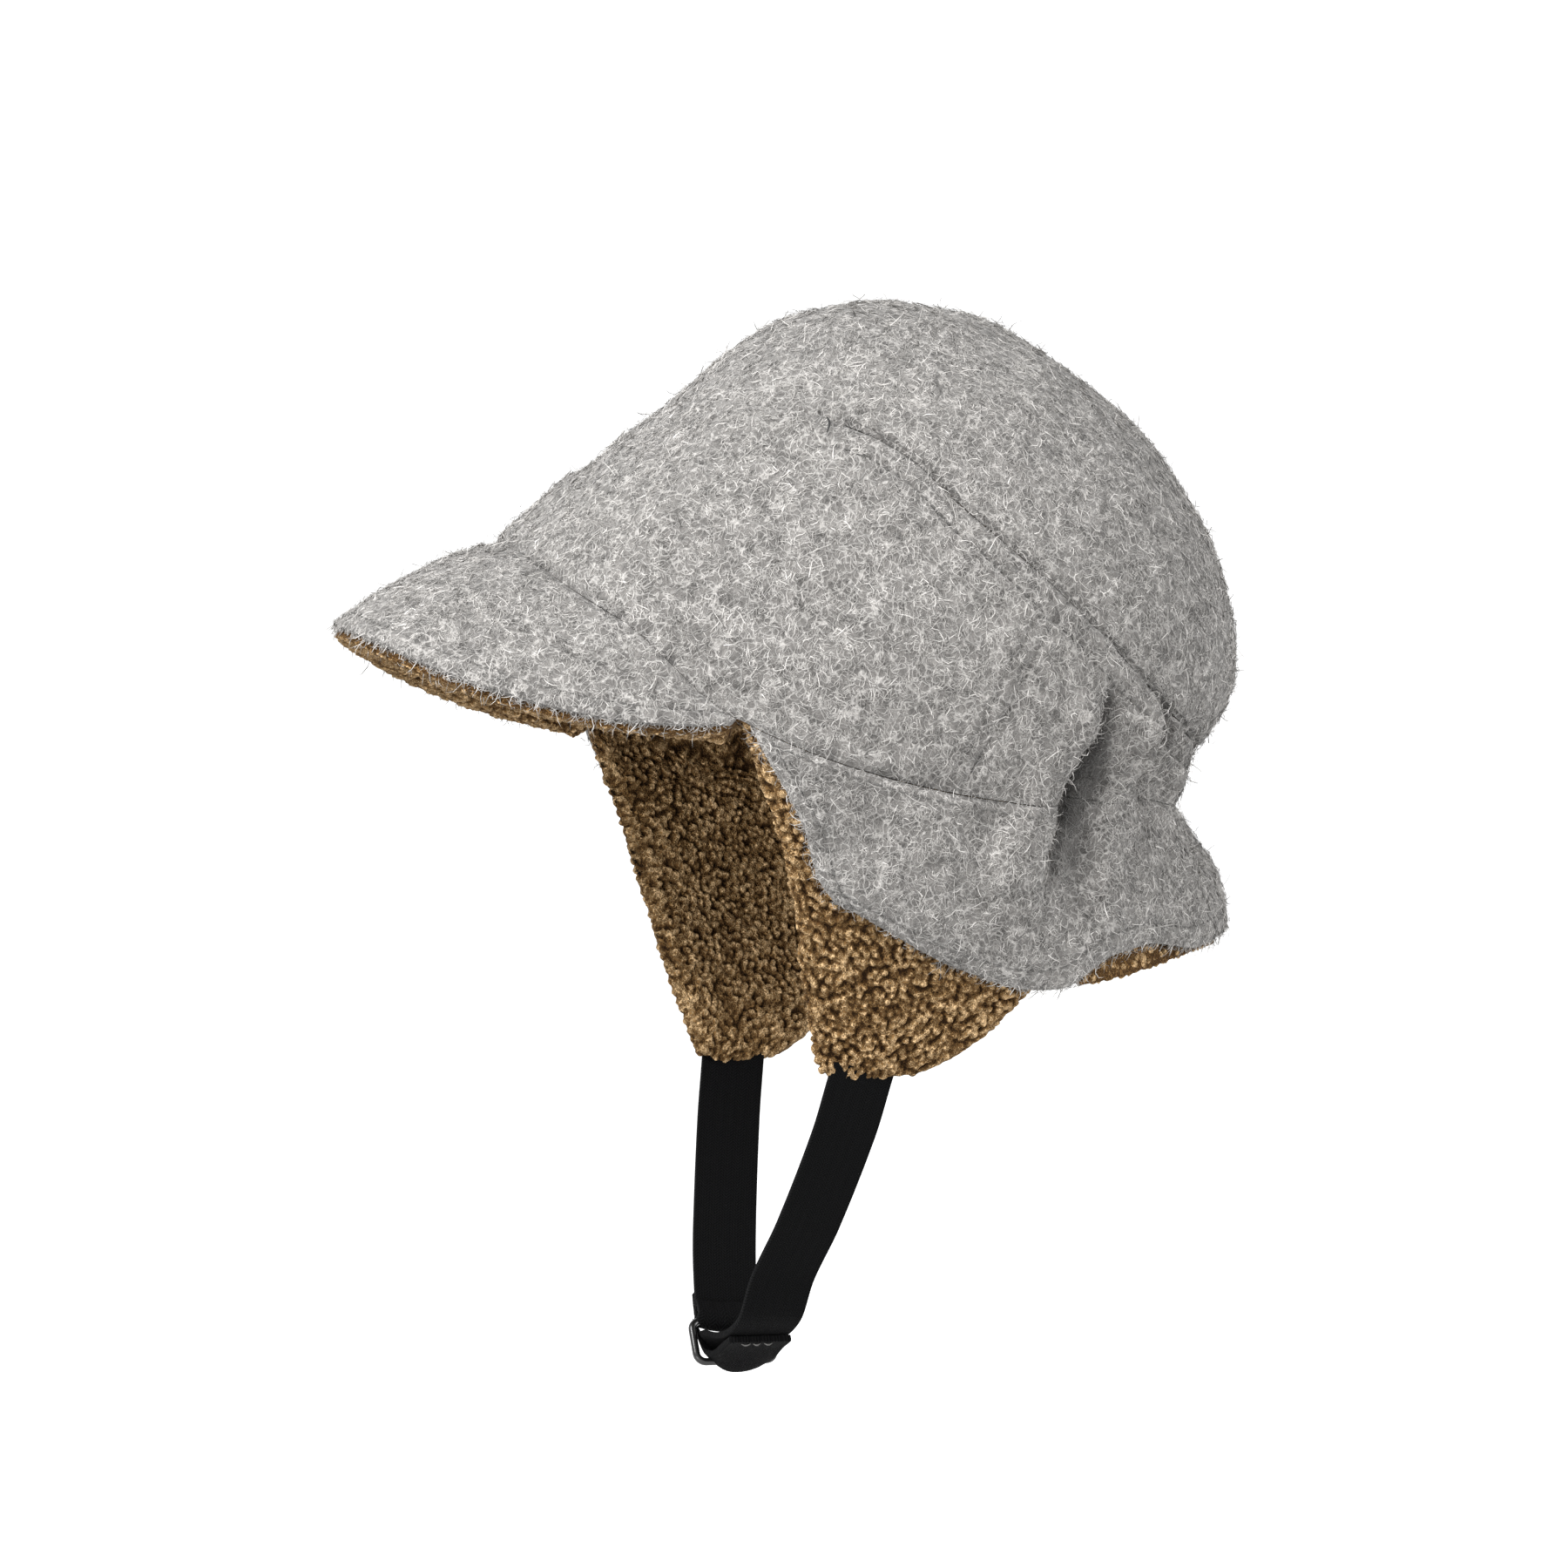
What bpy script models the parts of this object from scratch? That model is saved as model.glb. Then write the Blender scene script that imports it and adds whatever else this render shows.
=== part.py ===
"""Soft winter cap with a peak, ear flaps, a gathered neck curtain and a chin strap, modelled as layered
cloth panels. The frame is +Z up, -Y to the front and +X to the wearer's left, in metres. The origin is
the middle of the head opening, level with the temples."""

import math

import bmesh
import bpy
from mathutils import Matrix, Vector

# Crown
CROWN_HALF_LENGTH = 0.1075
CROWN_HALF_WIDTH = 0.088
CROWN_HEIGHT = 0.123

# Layers
WOOL_THICKNESS = 0.002
FLEECE_THICKNESS = 0.005
FLAP_THICKNESS = 0.009
SEAM_GAP = 0.0004
LAYER_GAP = 0.0008

# Peak
TEMPLE_TURN = 47.0
PEAK_REACH = 0.0925
PEAK_TIP_HEIGHT = 0.0300
PEAK_TWIST = 0.0042
PEAK_ARCH = 0.003
PEAK_END = 0.955
SHARP_ANGLE = 50.0

# Skirt below the crown
SKIRT_STEP = 0.045
CURTAIN_DROP = 0.072
LINING_OVERHANG = 0.002
LINING_FRONT_TURN = 121.0
FLAP_DROP = 0.0975
FLAP_SAG = 0.0018
FOLD_DEPTH = 0.0065
FOLD_EASE = 0.0016
SKIRT_BLEND = 0.015
FLAP_EDGE_SHARE = 0.55

# Chin strap and its loop
STRAP_WIDTH = 0.0185
STRAP_THICKNESS = 0.0018
STRAP_DROP = 0.0790
STRAP_LEAN = 0.0150
STRAP_PLACE = 0.40
BAR_APPROACH = 0.004
TAIL_CLOSE = 0.8
LEFT_TAIL = 0.021
RIGHT_TAIL = 0.012
LOOP_LENGTH = 0.0235
LOOP_HEIGHT = 0.0125
LOOP_WIRE_RADIUS = 0.0011
LOOP_OFFSET = 0.011
LOOP_SLANT = 28.0

# Outline of the crown and of the skirt below it, one row for each direction. turn is in degrees from the
# front. reach and skirt are shares of the plan ellipse, and rise holds shares of the crown's height. reach
# and rise go from the apex's first station down to the crown's edge. skirt goes on from there, at
# 0.3, 0.6, 1 and 1.9 skirt steps below the edge.
MERIDIANS = (
    {
        "turn": 0.0,
        "reach": (0.250, 0.392, 0.640, 0.770, 0.872, 0.957, 1.033),
        "rise": (0.960, 0.886, 0.707, 0.622, 0.558, 0.495, 0.430),
        "skirt": (1.010, 0.980, 0.930, 0.800),
    },
    {
        "turn": 28.0,
        "reach": (0.262, 0.408, 0.660, 0.815, 0.930, 1.010, 1.062),
        "rise": (0.960, 0.886, 0.707, 0.588, 0.488, 0.388, 0.290),
        "skirt": (1.040, 1.000, 0.940, 0.790),
    },
    {
        "turn": 47.0,
        "reach": (0.272, 0.429, 0.669, 0.836, 0.951, 1.009, 1.025),
        "rise": (0.960, 0.882, 0.707, 0.537, 0.358, 0.179, 0.024),
        "skirt": (0.993, 0.962, 0.915, 0.763),
    },
    {
        "turn": 85.0,
        "reach": (0.272, 0.431, 0.681, 0.851, 0.965, 1.005, 0.965),
        "rise": (0.963, 0.890, 0.724, 0.537, 0.333, 0.098, -0.142),
        "skirt": (0.959, 0.931, 0.880, 0.670),
    },
    {
        "turn": 130.0,
        "reach": (0.272, 0.445, 0.705, 0.892, 0.988, 1.008, 0.890),
        "rise": (0.967, 0.894, 0.724, 0.520, 0.317, 0.089, -0.165),
        "skirt": (0.893, 0.925, 0.945, 0.930),
    },
    {
        "turn": 180.0,
        "reach": (0.245, 0.430, 0.680, 0.843, 0.940, 0.962, 0.770),
        "rise": (0.972, 0.894, 0.732, 0.545, 0.358, 0.115, -0.146),
        "skirt": (0.850, 0.940, 0.975, 0.990),
    },
)
SKIRT_STATIONS = (0.0, 0.3, 0.6, 1.0, 1.9)
EDGE_STATION = 7

# Station where the peak's twist starts, and the steps that slopes are read over
TWIST_STATION = 3.0
TURN_STEP = 1.0
STATION_STEP = 0.1
DROP_STEP = 0.002

# Shares of a fold's length over which it rises at its top and fades at its foot
FOLD_RISE = 0.3
FOLD_FADE = 0.45

# Neighbourhood that the inner layers clear a fold over, in degrees and metres, and where the gathered part
# starts and is full, in degrees from the front and as shares of the crown's height below the temples
SLACK_TURNS = (-7.0, -3.5, 0.0, 3.5, 7.0)
SLACK_HEIGHTS = (-0.008, 0.0, 0.008)
GATHER_TURNS = (95.0, 115.0)
GATHER_DEPTHS = (-0.30, -0.17)

# Seam between the dome and the panels below it, as the station that it runs at in each direction
DOME_SEAM = (
    {"turn": 0.0, "station": 2.70},
    {"turn": 30.0, "station": 2.75},
    {"turn": 57.0, "station": 3.00},
    {"turn": 76.0, "station": 3.50},
    {"turn": 88.0, "station": 4.15},
    {"turn": 100.0, "station": 4.75},
    {"turn": 109.0, "station": 5.20},
    {"turn": 121.0, "station": 5.80},
    {"turn": 133.0, "station": 6.25},
    {"turn": 153.0, "station": 6.55},
    {"turn": 180.0, "station": 6.65},
)

# Side seam between the front panel and the nape band, from the dome seam down to the crown's edge
SIDE_SEAM = (
    {"part": 0.0, "turn": 107.0},
    {"part": 0.5, "turn": 97.0},
    {"part": 0.8, "turn": 90.5},
    {"part": 1.0, "turn": 85.0},
)

# Hem of the curtain, as shares of its drop below the temples
CURTAIN_HEM = (
    {"turn": 47.0, "drop": 0.610},
    {"turn": 61.0, "drop": 0.660},
    {"turn": 71.0, "drop": 0.764},
    {"turn": 85.0, "drop": 0.905},
    {"turn": 103.0, "drop": 1.000},
    {"turn": 117.0, "drop": 0.965},
    {"turn": 140.0, "drop": 0.865},
    {"turn": 160.0, "drop": 0.800},
    {"turn": 180.0, "drop": 0.780},
)
CURTAIN_FRONT = (
    {"part": 0.00, "turn": 48.2},
    {"part": 0.20, "turn": 51.2},
    {"part": 0.50, "turn": 55.8},
    {"part": 0.85, "turn": 58.2},
    {"part": 1.00, "turn": 61.5},
)

# Edges of an ear flap from its seam to its tip. The drops are shares of the flap's own drop.
FLAP_EDGES = (
    {"part": 0.00, "front": 49.8, "front_drop": 0.000, "rear": 115.0, "rear_drop": 0.230},
    {"part": 0.20, "front": 50.4, "front_drop": 0.133, "rear": 114.0, "rear_drop": 0.369},
    {"part": 0.40, "front": 52.6, "front_drop": 0.297, "rear": 112.0, "rear_drop": 0.533},
    {"part": 0.60, "front": 54.2, "front_drop": 0.513, "rear": 107.0, "rear_drop": 0.685},
    {"part": 0.80, "front": 53.8, "front_drop": 0.738, "rear": 99.0, "rear_drop": 0.826},
    {"part": 0.92, "front": 54.8, "front_drop": 0.882, "rear": 90.0, "rear_drop": 0.928},
    {"part": 1.00, "front": 57.5, "front_drop": 0.954, "rear": 80.0, "rear_drop": 0.980},
)

# Folds pulled in by the elastic, on both sides alike. turn and lean are in degrees, and lean is how far the
# fold drifts forward by its foot. depth is a share of the fold depth, outward if positive. top and foot are
# shares of the crown's height.
FOLDS = (
    {"turn": 70.0, "lean": 2.0, "width": 5.0, "depth": -0.30, "top": -0.06, "foot": -0.36},
    {"turn": 102.0, "lean": 3.0, "width": 5.0, "depth": 0.45, "top": 0.00, "foot": -0.55},
    {"turn": 111.0, "lean": 1.0, "width": 2.8, "depth": 0.40, "top": 0.10, "foot": -0.11},
    {"turn": 121.0, "lean": 12.0, "width": 4.6, "depth": -1.00, "top": 0.08, "foot": -0.52},
    {"turn": 125.5, "lean": 2.0, "width": 4.0, "depth": 0.55, "top": 0.10, "foot": -0.14},
    {"turn": 135.0, "lean": 2.0, "width": 4.0, "depth": -0.55, "top": 0.02, "foot": -0.30},
    {"turn": 145.0, "lean": -2.0, "width": 4.5, "depth": 0.45, "top": -0.02, "foot": -0.45},
    {"turn": 155.0, "lean": -3.0, "width": 4.0, "depth": -0.50, "top": -0.03, "foot": -0.40},
    {"turn": 165.0, "lean": -3.0, "width": 4.5, "depth": 0.40, "top": -0.04, "foot": -0.45},
    {"turn": 174.0, "lean": -2.0, "width": 4.0, "depth": -0.40, "top": -0.04, "foot": -0.38},
)

# Middle line of a strap from its flap to the loop. down is a share of the strap's drop, inward of the way
# from the flap's tip to the middle of the hat, and forward of the strap's lean.
STRAP_ROUTE = (
    {"down": 0.020, "inward": 0.005, "forward": 0.020},
    {"down": 0.216, "inward": 0.100, "forward": 0.220},
    {"down": 0.542, "inward": 0.343, "forward": 0.600},
    {"down": 0.739, "inward": 0.537, "forward": 0.855},
    {"down": 0.895, "inward": 0.670, "forward": 0.960},
)

GREY_WOOL = {"name": "grey_wool", "color": (0.42, 0.41, 0.39), "roughness": 0.95}
BROWN_FLEECE = {"name": "brown_fleece", "color": (0.19, 0.105, 0.048), "roughness": 0.95}
BLACK_TAPE = {"name": "black_tape", "color": (0.012, 0.012, 0.012), "roughness": 0.85}
BLACK_PLASTIC = {"name": "black_plastic", "color": (0.008, 0.008, 0.008), "roughness": 0.18}


def clearScene():
    for obj in list(bpy.data.objects):
        bpy.data.objects.remove(obj, do_unlink=True)


def makeMaterial(look):
    material = bpy.data.materials.new(look["name"])
    material.use_nodes = True
    shader = material.node_tree.nodes["Principled BSDF"]
    shader.inputs["Base Color"].default_value = (*look["color"], 1.0)
    shader.inputs["Roughness"].default_value = look["roughness"]
    shader.inputs["Metallic"].default_value = 0.0
    material.diffuse_color = (*look["color"], 1.0)
    return material


def smoothStep(low, high, value):
    share = min(1.0, max(0.0, (value - low) / (high - low)))
    return share * share * (3.0 - 2.0 * share)


def throughPoints(places, values, place):
    """Smooth curve through the values, with each slope taken from its two neighbours."""
    last = len(places) - 1
    place = min(max(place, places[0]), places[last])
    low = 0
    while low < last - 1 and places[low + 1] < place:
        low += 1
    span = places[low + 1] - places[low]
    share = (place - places[low]) / span

    def slope(index):
        before, after = max(index - 1, 0), min(index + 1, last)
        return (values[after] - values[before]) / (places[after] - places[before])

    a, b = values[low], values[low + 1]
    in_slope, out_slope = slope(low) * span, slope(low + 1) * span
    square, cube = share * share, share * share * share
    return (
        a * (2 * cube - 3 * square + 1)
        + in_slope * (cube - 2 * square + share)
        + b * (3 * square - 2 * cube)
        + out_slope * (cube - square)
    )


def column(rows, name):
    return [row[name] for row in rows]


def mirrored(rows, values):
    """Turns and values of the rows, carried on past the front and the nape as the other side has them."""
    turns = column(rows, "turn")
    places = [-turn for turn in turns[:0:-1]] + turns + [360.0 - turn for turn in turns[-2::-1]]
    return places, list(values[:0:-1]) + list(values) + list(values[-2::-1])


def folded(turn):
    """The same direction as an angle from 0 at the front to 180 at the nape."""
    return abs((turn + 180.0) % 360.0 - 180.0)


REACH_CURVES = [
    mirrored(MERIDIANS, [row["reach"][station] for row in MERIDIANS]) for station in range(EDGE_STATION)
]
RISE_CURVES = [
    mirrored(MERIDIANS, [row["rise"][station] for row in MERIDIANS]) for station in range(EDGE_STATION)
]
SKIRT_CURVES = [
    mirrored(MERIDIANS, [row["skirt"][station] for row in MERIDIANS])
    for station in range(len(SKIRT_STATIONS) - 1)
]
DOME_SEAM_CURVE = mirrored(DOME_SEAM, column(DOME_SEAM, "station"))


def ellipseRadius(turn):
    angle = math.radians(turn)
    return 1.0 / math.hypot(math.sin(angle) / CROWN_HALF_WIDTH, math.cos(angle) / CROWN_HALF_LENGTH)


def placed(turn, radius, height):
    angle = math.radians(turn)
    return Vector((radius * math.sin(angle), -radius * math.cos(angle), height))


def peakTwist(turn):
    """How far the left side of the peak hangs below its middle, and the right side stands above it."""
    share = max(-1.0, min(1.0, ((turn + 180.0) % 360.0 - 180.0) / TEMPLE_TURN))
    return -PEAK_TWIST * math.sin(math.pi * share)


def crownStation(turn, index):
    """Radius and height of one station of the crown, with one more past the apex and past the edge."""
    if index == 0:
        return 0.0, CROWN_HEIGHT
    if index < 0:
        radius, height = crownStation(turn, 1)
        return -radius, height
    if index > EDGE_STATION:
        near, far = crownStation(turn, EDGE_STATION), crownStation(turn, EDGE_STATION - 1)
        return 2 * near[0] - far[0], 2 * near[1] - far[1]
    small = folded(turn)
    radius = ellipseRadius(turn) * throughPoints(*REACH_CURVES[index - 1], small)
    height = CROWN_HEIGHT * throughPoints(*RISE_CURVES[index - 1], small)
    return radius, height + peakTwist(turn) * smoothStep(TWIST_STATION, EDGE_STATION, index)


def crownPoint(turn, station):
    """Outer surface of the crown without its folds. station runs from 0 at the apex to the edge's."""
    low = min(EDGE_STATION - 1, int(station))
    share = station - low
    ends = [crownStation(turn, low + step) for step in (-1, 0, 1, 2)]
    square, cube = share * share, share * share * share
    weights = (
        (-cube + 2 * square - share) / 2,
        (3 * cube - 5 * square + 2) / 2,
        (-3 * cube + 4 * square + share) / 2,
        (cube - square) / 2,
    )
    radius = sum(weight * end[0] for weight, end in zip(weights, ends))
    height = sum(weight * end[1] for weight, end in zip(weights, ends))
    return placed(turn, radius, height)


def skirtPoint(turn, drop):
    """Outer surface below the crown. drop is in metres below the crown's edge."""
    radius, height = crownStation(turn, EDGE_STATION)
    small = folded(turn)
    shares = [radius / ellipseRadius(turn)] + [throughPoints(*curve, small) for curve in SKIRT_CURVES]
    reach = throughPoints(SKIRT_STATIONS, shares, drop / SKIRT_STEP)
    return placed(turn, reach * ellipseRadius(turn), height - drop)


def normalOf(surface, first, second, first_step, second_step):
    """Direction out of the surface, from small steps each way."""
    across = surface(first + first_step, second) - surface(first - first_step, second)
    along = surface(first, second + second_step) - surface(first, second - second_step)
    return along.cross(across).normalized()


def crownNormal(turn, station):
    if station < STATION_STEP:
        return Vector((0.0, 0.0, 1.0))
    return normalOf(crownPoint, turn, min(station, EDGE_STATION - STATION_STEP), TURN_STEP, STATION_STEP)


def skirtNormal(turn, drop):
    """Turns from the crown's own normal at the seam to the skirt's, so that both sides of it agree."""
    own = normalOf(skirtPoint, turn, max(drop, 2 * DROP_STEP), TURN_STEP, DROP_STEP)
    share = smoothStep(0.0, SKIRT_BLEND, drop)
    return crownNormal(turn, EDGE_STATION).lerp(own, share).normalized()


def foldHeight(turn, height):
    """How far the folds push the surface out at this direction and height."""
    small = folded(turn)
    share = height / CROWN_HEIGHT
    total = 0.0
    for fold in FOLDS:
        down = (fold["top"] - share) / (fold["top"] - fold["foot"])
        if not 0.0 < down < 1.0:
            continue
        middle = fold["turn"] - fold["lean"] * down
        across = math.exp(-(((small - middle) / fold["width"]) ** 2))
        along = smoothStep(0.0, FOLD_RISE, down) * smoothStep(0.0, FOLD_FADE, 1.0 - down)
        total += fold["depth"] * across * along
    return FOLD_DEPTH * total


def foldSlack(turn, height):
    """How far inner layers stay back, so that no fold reaches them, with some ease at the gathered nape."""
    turns = [turn + step for step in SLACK_TURNS]
    heights = [height + step for step in SLACK_HEIGHTS]
    deepest = max(-foldHeight(near, level) for near in turns for level in heights)
    gathered = smoothStep(*GATHER_TURNS, folded(turn)) * smoothStep(*GATHER_DEPTHS, -height / CROWN_HEIGHT)
    return max(0.0, deepest) + FOLD_EASE * gathered


def crownLayer(turn, station, depth, slack=0.0):
    """Point of the crown at this depth under its outer face. slack is the share of the folds' room kept."""
    base = crownPoint(turn, station)
    if slack:
        rise = -slack * foldSlack(turn, base.z)
    else:
        rise = foldHeight(turn, base.z)
    return base + crownNormal(turn, station) * (rise - depth)


def skirtLayer(turn, drop, depth, slack=0.0):
    base = skirtPoint(turn, drop)
    if slack:
        rise = -slack * foldSlack(turn, base.z)
    else:
        rise = foldHeight(turn, base.z)
    return base + skirtNormal(turn, drop) * (rise - depth)


def peakPoint(share, part):
    """Outer surface of the peak. share runs from -1 to 1 between the temples, part from seam to rim."""
    turn = TEMPLE_TURN * share
    seam = crownPoint(turn, EDGE_STATION)
    temple = crownPoint(TEMPLE_TURN, EDGE_STATION)
    angle = share * math.pi / 2
    lift = math.cos(angle) ** 2
    rim = Vector(
        (
            temple.x * math.sin(angle),
            temple.y - PEAK_REACH * math.cos(angle),
            temple.z + (PEAK_TIP_HEIGHT - temple.z) * lift + peakTwist(turn),
        )
    )
    arch = PEAK_ARCH * 4.0 * part * (1.0 - part) * math.cos(angle)
    return seam.lerp(rim, part) + Vector((0.0, 0.0, arch))


def peakLayer(share, part, depth):
    own = normalOf(peakPoint, share, max(part, 0.1), 0.01, 0.05)
    edge = crownNormal(TEMPLE_TURN * share, EDGE_STATION)
    normal = edge.lerp(own, smoothStep(0.0, 0.5, part)).normalized()
    return peakPoint(share, part) - normal * depth


def evenly(low, high, count):
    return [low + (high - low) * index / count for index in range(count + 1)]


def seamMargin(surface, first, low, high):
    """Share of the way from low to high that equals half the seam gap there."""
    steps = [surface(first, place) for place in evenly(low, high, 4)]
    length = sum((b - a).length for a, b in zip(steps, steps[1:]))
    return 0.5 * SEAM_GAP / length


def buildSlab(name, outer, inner, look, wraps=False, capped=False):
    """Closed solid between two grids of points, rows by columns. wraps closes the columns into a ring, and
    capped closes the first row into one point."""
    bm = bmesh.new()
    rows, columns = len(outer), len(outer[0])
    layers = []
    for grid in (outer, inner):
        layer = []
        for index, row in enumerate(grid):
            if capped and index == 0:
                layer.append([bm.verts.new(row[0])] * columns)
            else:
                layer.append([bm.verts.new(point) for point in row])
        layers.append(layer)
    top, under = layers
    ends = columns if wraps else columns - 1
    for row in range(rows - 1):
        for place in range(ends):
            after = (place + 1) % columns
            for layer, turned in ((top, False), (under, True)):
                corners = [layer[row][place], layer[row][after], layer[row + 1][after], layer[row + 1][place]]
                if capped and row == 0:
                    corners = [corners[0], corners[2], corners[3]]
                bm.faces.new(corners[::-1] if turned else corners)
    borders = [[(row, place) for place in range(columns)] for row in (0, rows - 1)]
    if capped:
        borders = borders[1:]
    if not wraps:
        borders += [[(row, place) for row in range(rows)] for place in (0, columns - 1)]
    for border in borders:
        loops = list(zip(border, border[1:]))
        if wraps:
            loops.append((border[-1], border[0]))
        for a, b in loops:
            bm.faces.new([top[a[0]][a[1]], top[b[0]][b[1]], under[b[0]][b[1]], under[a[0]][a[1]]])
    bmesh.ops.triangulate(bm, faces=bm.faces[:])
    return finishMesh(name, bm, look)


def finishMesh(name, bm, look):
    bmesh.ops.recalc_face_normals(bm, faces=bm.faces[:])
    mesh = bpy.data.meshes.new(name)
    bm.to_mesh(mesh)
    bm.free()
    mesh.shade_smooth()
    mesh.set_sharp_from_angle(angle=math.radians(SHARP_ANGLE))
    mesh.materials.append(bpy.data.materials[look["name"]])
    obj = bpy.data.objects.new(name, mesh)
    bpy.context.scene.collection.objects.link(obj)
    return obj


def domeSeamStation(turn):
    return throughPoints(*DOME_SEAM_CURVE, folded(turn))


def sideSeamTurn(part):
    return throughPoints(column(SIDE_SEAM, "part"), column(SIDE_SEAM, "turn"), part)


def bandStation(turn, part):
    """Station at this part of the way from the dome seam to the crown's edge, short of both seams."""
    top = domeSeamStation(turn)
    margin = seamMargin(crownPoint, turn, top, EDGE_STATION)
    return top + (EDGE_STATION - top) * (margin + (1.0 - 2.0 * margin) * part)


def buildCrownDome(columns=48, rows=11):
    turns = evenly(0.0, 360.0, columns)[:-1]

    def grid(depth):
        points = []
        for part in evenly(0.0, 1.0, rows):
            row = []
            for turn in turns:
                seam = domeSeamStation(turn)
                margin = seamMargin(crownPoint, turn, STATION_STEP, seam)
                row.append(crownLayer(turn, part * seam * (1.0 - margin), depth))
            points.append(row)
        return points

    return buildSlab("crown_dome", grid(0.0), grid(WOOL_THICKNESS), GREY_WOOL, wraps=True, capped=True)


def buildBand(name, first_turn, last_turn, columns, rows):
    """Panel of the crown below the dome. first_turn and last_turn give its side edges at each part."""

    def grid(depth):
        points = []
        for part in evenly(0.0, 1.0, rows):
            turns = evenly(first_turn(part), last_turn(part), columns)
            points.append([crownLayer(turn, bandStation(turn, part), depth) for turn in turns])
        return points

    return buildSlab(name, grid(0.0), grid(WOOL_THICKNESS), GREY_WOOL)


def buildCrownPanels():
    margin = math.degrees(0.5 * SEAM_GAP / CROWN_HALF_WIDTH)
    buildBand(
        "crown_front",
        lambda part: margin - sideSeamTurn(part),
        lambda part: sideSeamTurn(part) - margin,
        columns=40,
        rows=8,
    )
    buildBand(
        "nape_band",
        lambda part: sideSeamTurn(part) + margin,
        lambda part: 360.0 - sideSeamTurn(part) - margin,
        columns=50,
        rows=5,
    )


def buildPeak():
    shares = evenly(-PEAK_END, PEAK_END, 24)

    def grid(depth, rows):
        margin = SEAM_GAP / PEAK_REACH
        return [[peakLayer(share, part, depth) for share in shares] for part in evenly(margin, 1.0, rows)]

    under = WOOL_THICKNESS + LAYER_GAP
    buildSlab("peak", grid(0.0, 4), grid(WOOL_THICKNESS, 4), GREY_WOOL)
    buildSlab("peak_lining", grid(under, 3), grid(under + FLEECE_THICKNESS, 3), BROWN_FLEECE)


def hemDrop(turn):
    """Depth of the curtain's hem below the crown's edge in this direction."""
    below = CURTAIN_DROP * throughPoints(*mirrored(CURTAIN_HEM, column(CURTAIN_HEM, "drop")), folded(turn))
    return crownStation(turn, EDGE_STATION)[1] + below


def curtainFrontTurn(part):
    return throughPoints(column(CURTAIN_FRONT, "part"), column(CURTAIN_FRONT, "turn"), part)


def buildNeckCurtain(columns=74, rows=6):
    def grid(depth):
        points = []
        for part in evenly(0.0, 1.0, rows):
            front = curtainFrontTurn(part)
            row = []
            for turn in evenly(front, 360.0 - front, columns):
                margin = SEAM_GAP / hemDrop(turn)
                drop = hemDrop(turn) * (margin + (1.0 - margin) * part)
                row.append(skirtLayer(turn, drop, depth))
            points.append(row)
        return points

    return buildSlab("neck_curtain", grid(0.0), grid(WOOL_THICKNESS), GREY_WOOL)


def buildCurtainLining(columns=30, rows=4):
    under = WOOL_THICKNESS + LAYER_GAP

    def grid(depth):
        points = []
        for part in evenly(0.0, 1.0, rows):
            row = []
            for turn in evenly(LINING_FRONT_TURN, 360.0 - LINING_FRONT_TURN, columns):
                foot = hemDrop(turn) + LINING_OVERHANG
                row.append(skirtLayer(turn, SEAM_GAP / 2 + (foot - SEAM_GAP / 2) * part, depth, slack=1.0))
            points.append(row)
        return points

    return buildSlab("curtain_lining", grid(under), grid(under + FLEECE_THICKNESS), BROWN_FLEECE)


def buildCrownLining(columns=36, rows=11):
    under = WOOL_THICKNESS + LAYER_GAP
    turns = evenly(0.0, 360.0, columns)[:-1]

    def grid(depth):
        points = []
        for part in evenly(0.0, 1.0, rows):
            row = []
            for turn in turns:
                margin = seamMargin(crownPoint, turn, EDGE_STATION - 1, EDGE_STATION)
                row.append(crownLayer(turn, part * (EDGE_STATION - 1.5 * margin), depth, slack=1.0))
            points.append(row)
        return points

    return buildSlab(
        "crown_lining", grid(under), grid(under + FLEECE_THICKNESS), BROWN_FLEECE, wraps=True, capped=True
    )


def flapPlace(across, part):
    """Direction and drop of a point of the flap, across from front to rear and part from seam to tip."""
    parts = column(FLAP_EDGES, "part")
    front = throughPoints(parts, column(FLAP_EDGES, "front"), part)
    rear = throughPoints(parts, column(FLAP_EDGES, "rear"), part)
    front_drop = throughPoints(parts, column(FLAP_EDGES, "front_drop"), part)
    rear_drop = throughPoints(parts, column(FLAP_EDGES, "rear_drop"), part)
    turn = front + (rear - front) * across
    if part == 0.0:
        return turn, LAYER_GAP
    height = -FLAP_DROP * (front_drop + (rear_drop - front_drop) * across)
    height -= FLAP_SAG * 4.0 * across * (1.0 - across) * part
    edge = crownStation(turn, EDGE_STATION)[1]
    return turn, max(LAYER_GAP, edge - height)


def buildEarFlap(name, side, columns=12, rows=9):
    under = WOOL_THICKNESS + LAYER_GAP

    def grid(inner):
        points = []
        for part in evenly(0.0, 1.0, rows):
            row = []
            for across in evenly(0.0, 1.0, columns):
                turn, drop = flapPlace(across, part)
                rim = 1.0 - abs(2.0 * across - 1.0) ** 6
                tip = 1.0 - part**8
                plump = FLAP_EDGE_SHARE + (1.0 - FLAP_EDGE_SHARE) * rim * tip
                depth = under + (FLAP_THICKNESS * plump if inner else 0.0)
                row.append(skirtLayer(side * turn, drop, depth, slack=1.0))
            points.append(row)
        return points

    return buildSlab(name, grid(False), grid(True), BROWN_FLEECE)


def flapTip(side, across):
    """Point on the middle of the flap's lower edge, just clear of it."""
    turn, drop = flapPlace(across, 1.0)
    depth = WOOL_THICKNESS + LAYER_GAP + FLAP_THICKNESS * FLAP_EDGE_SHARE / 2
    return skirtLayer(side * turn, drop, depth, slack=1.0) - Vector((0.0, 0.0, LAYER_GAP))


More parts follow.
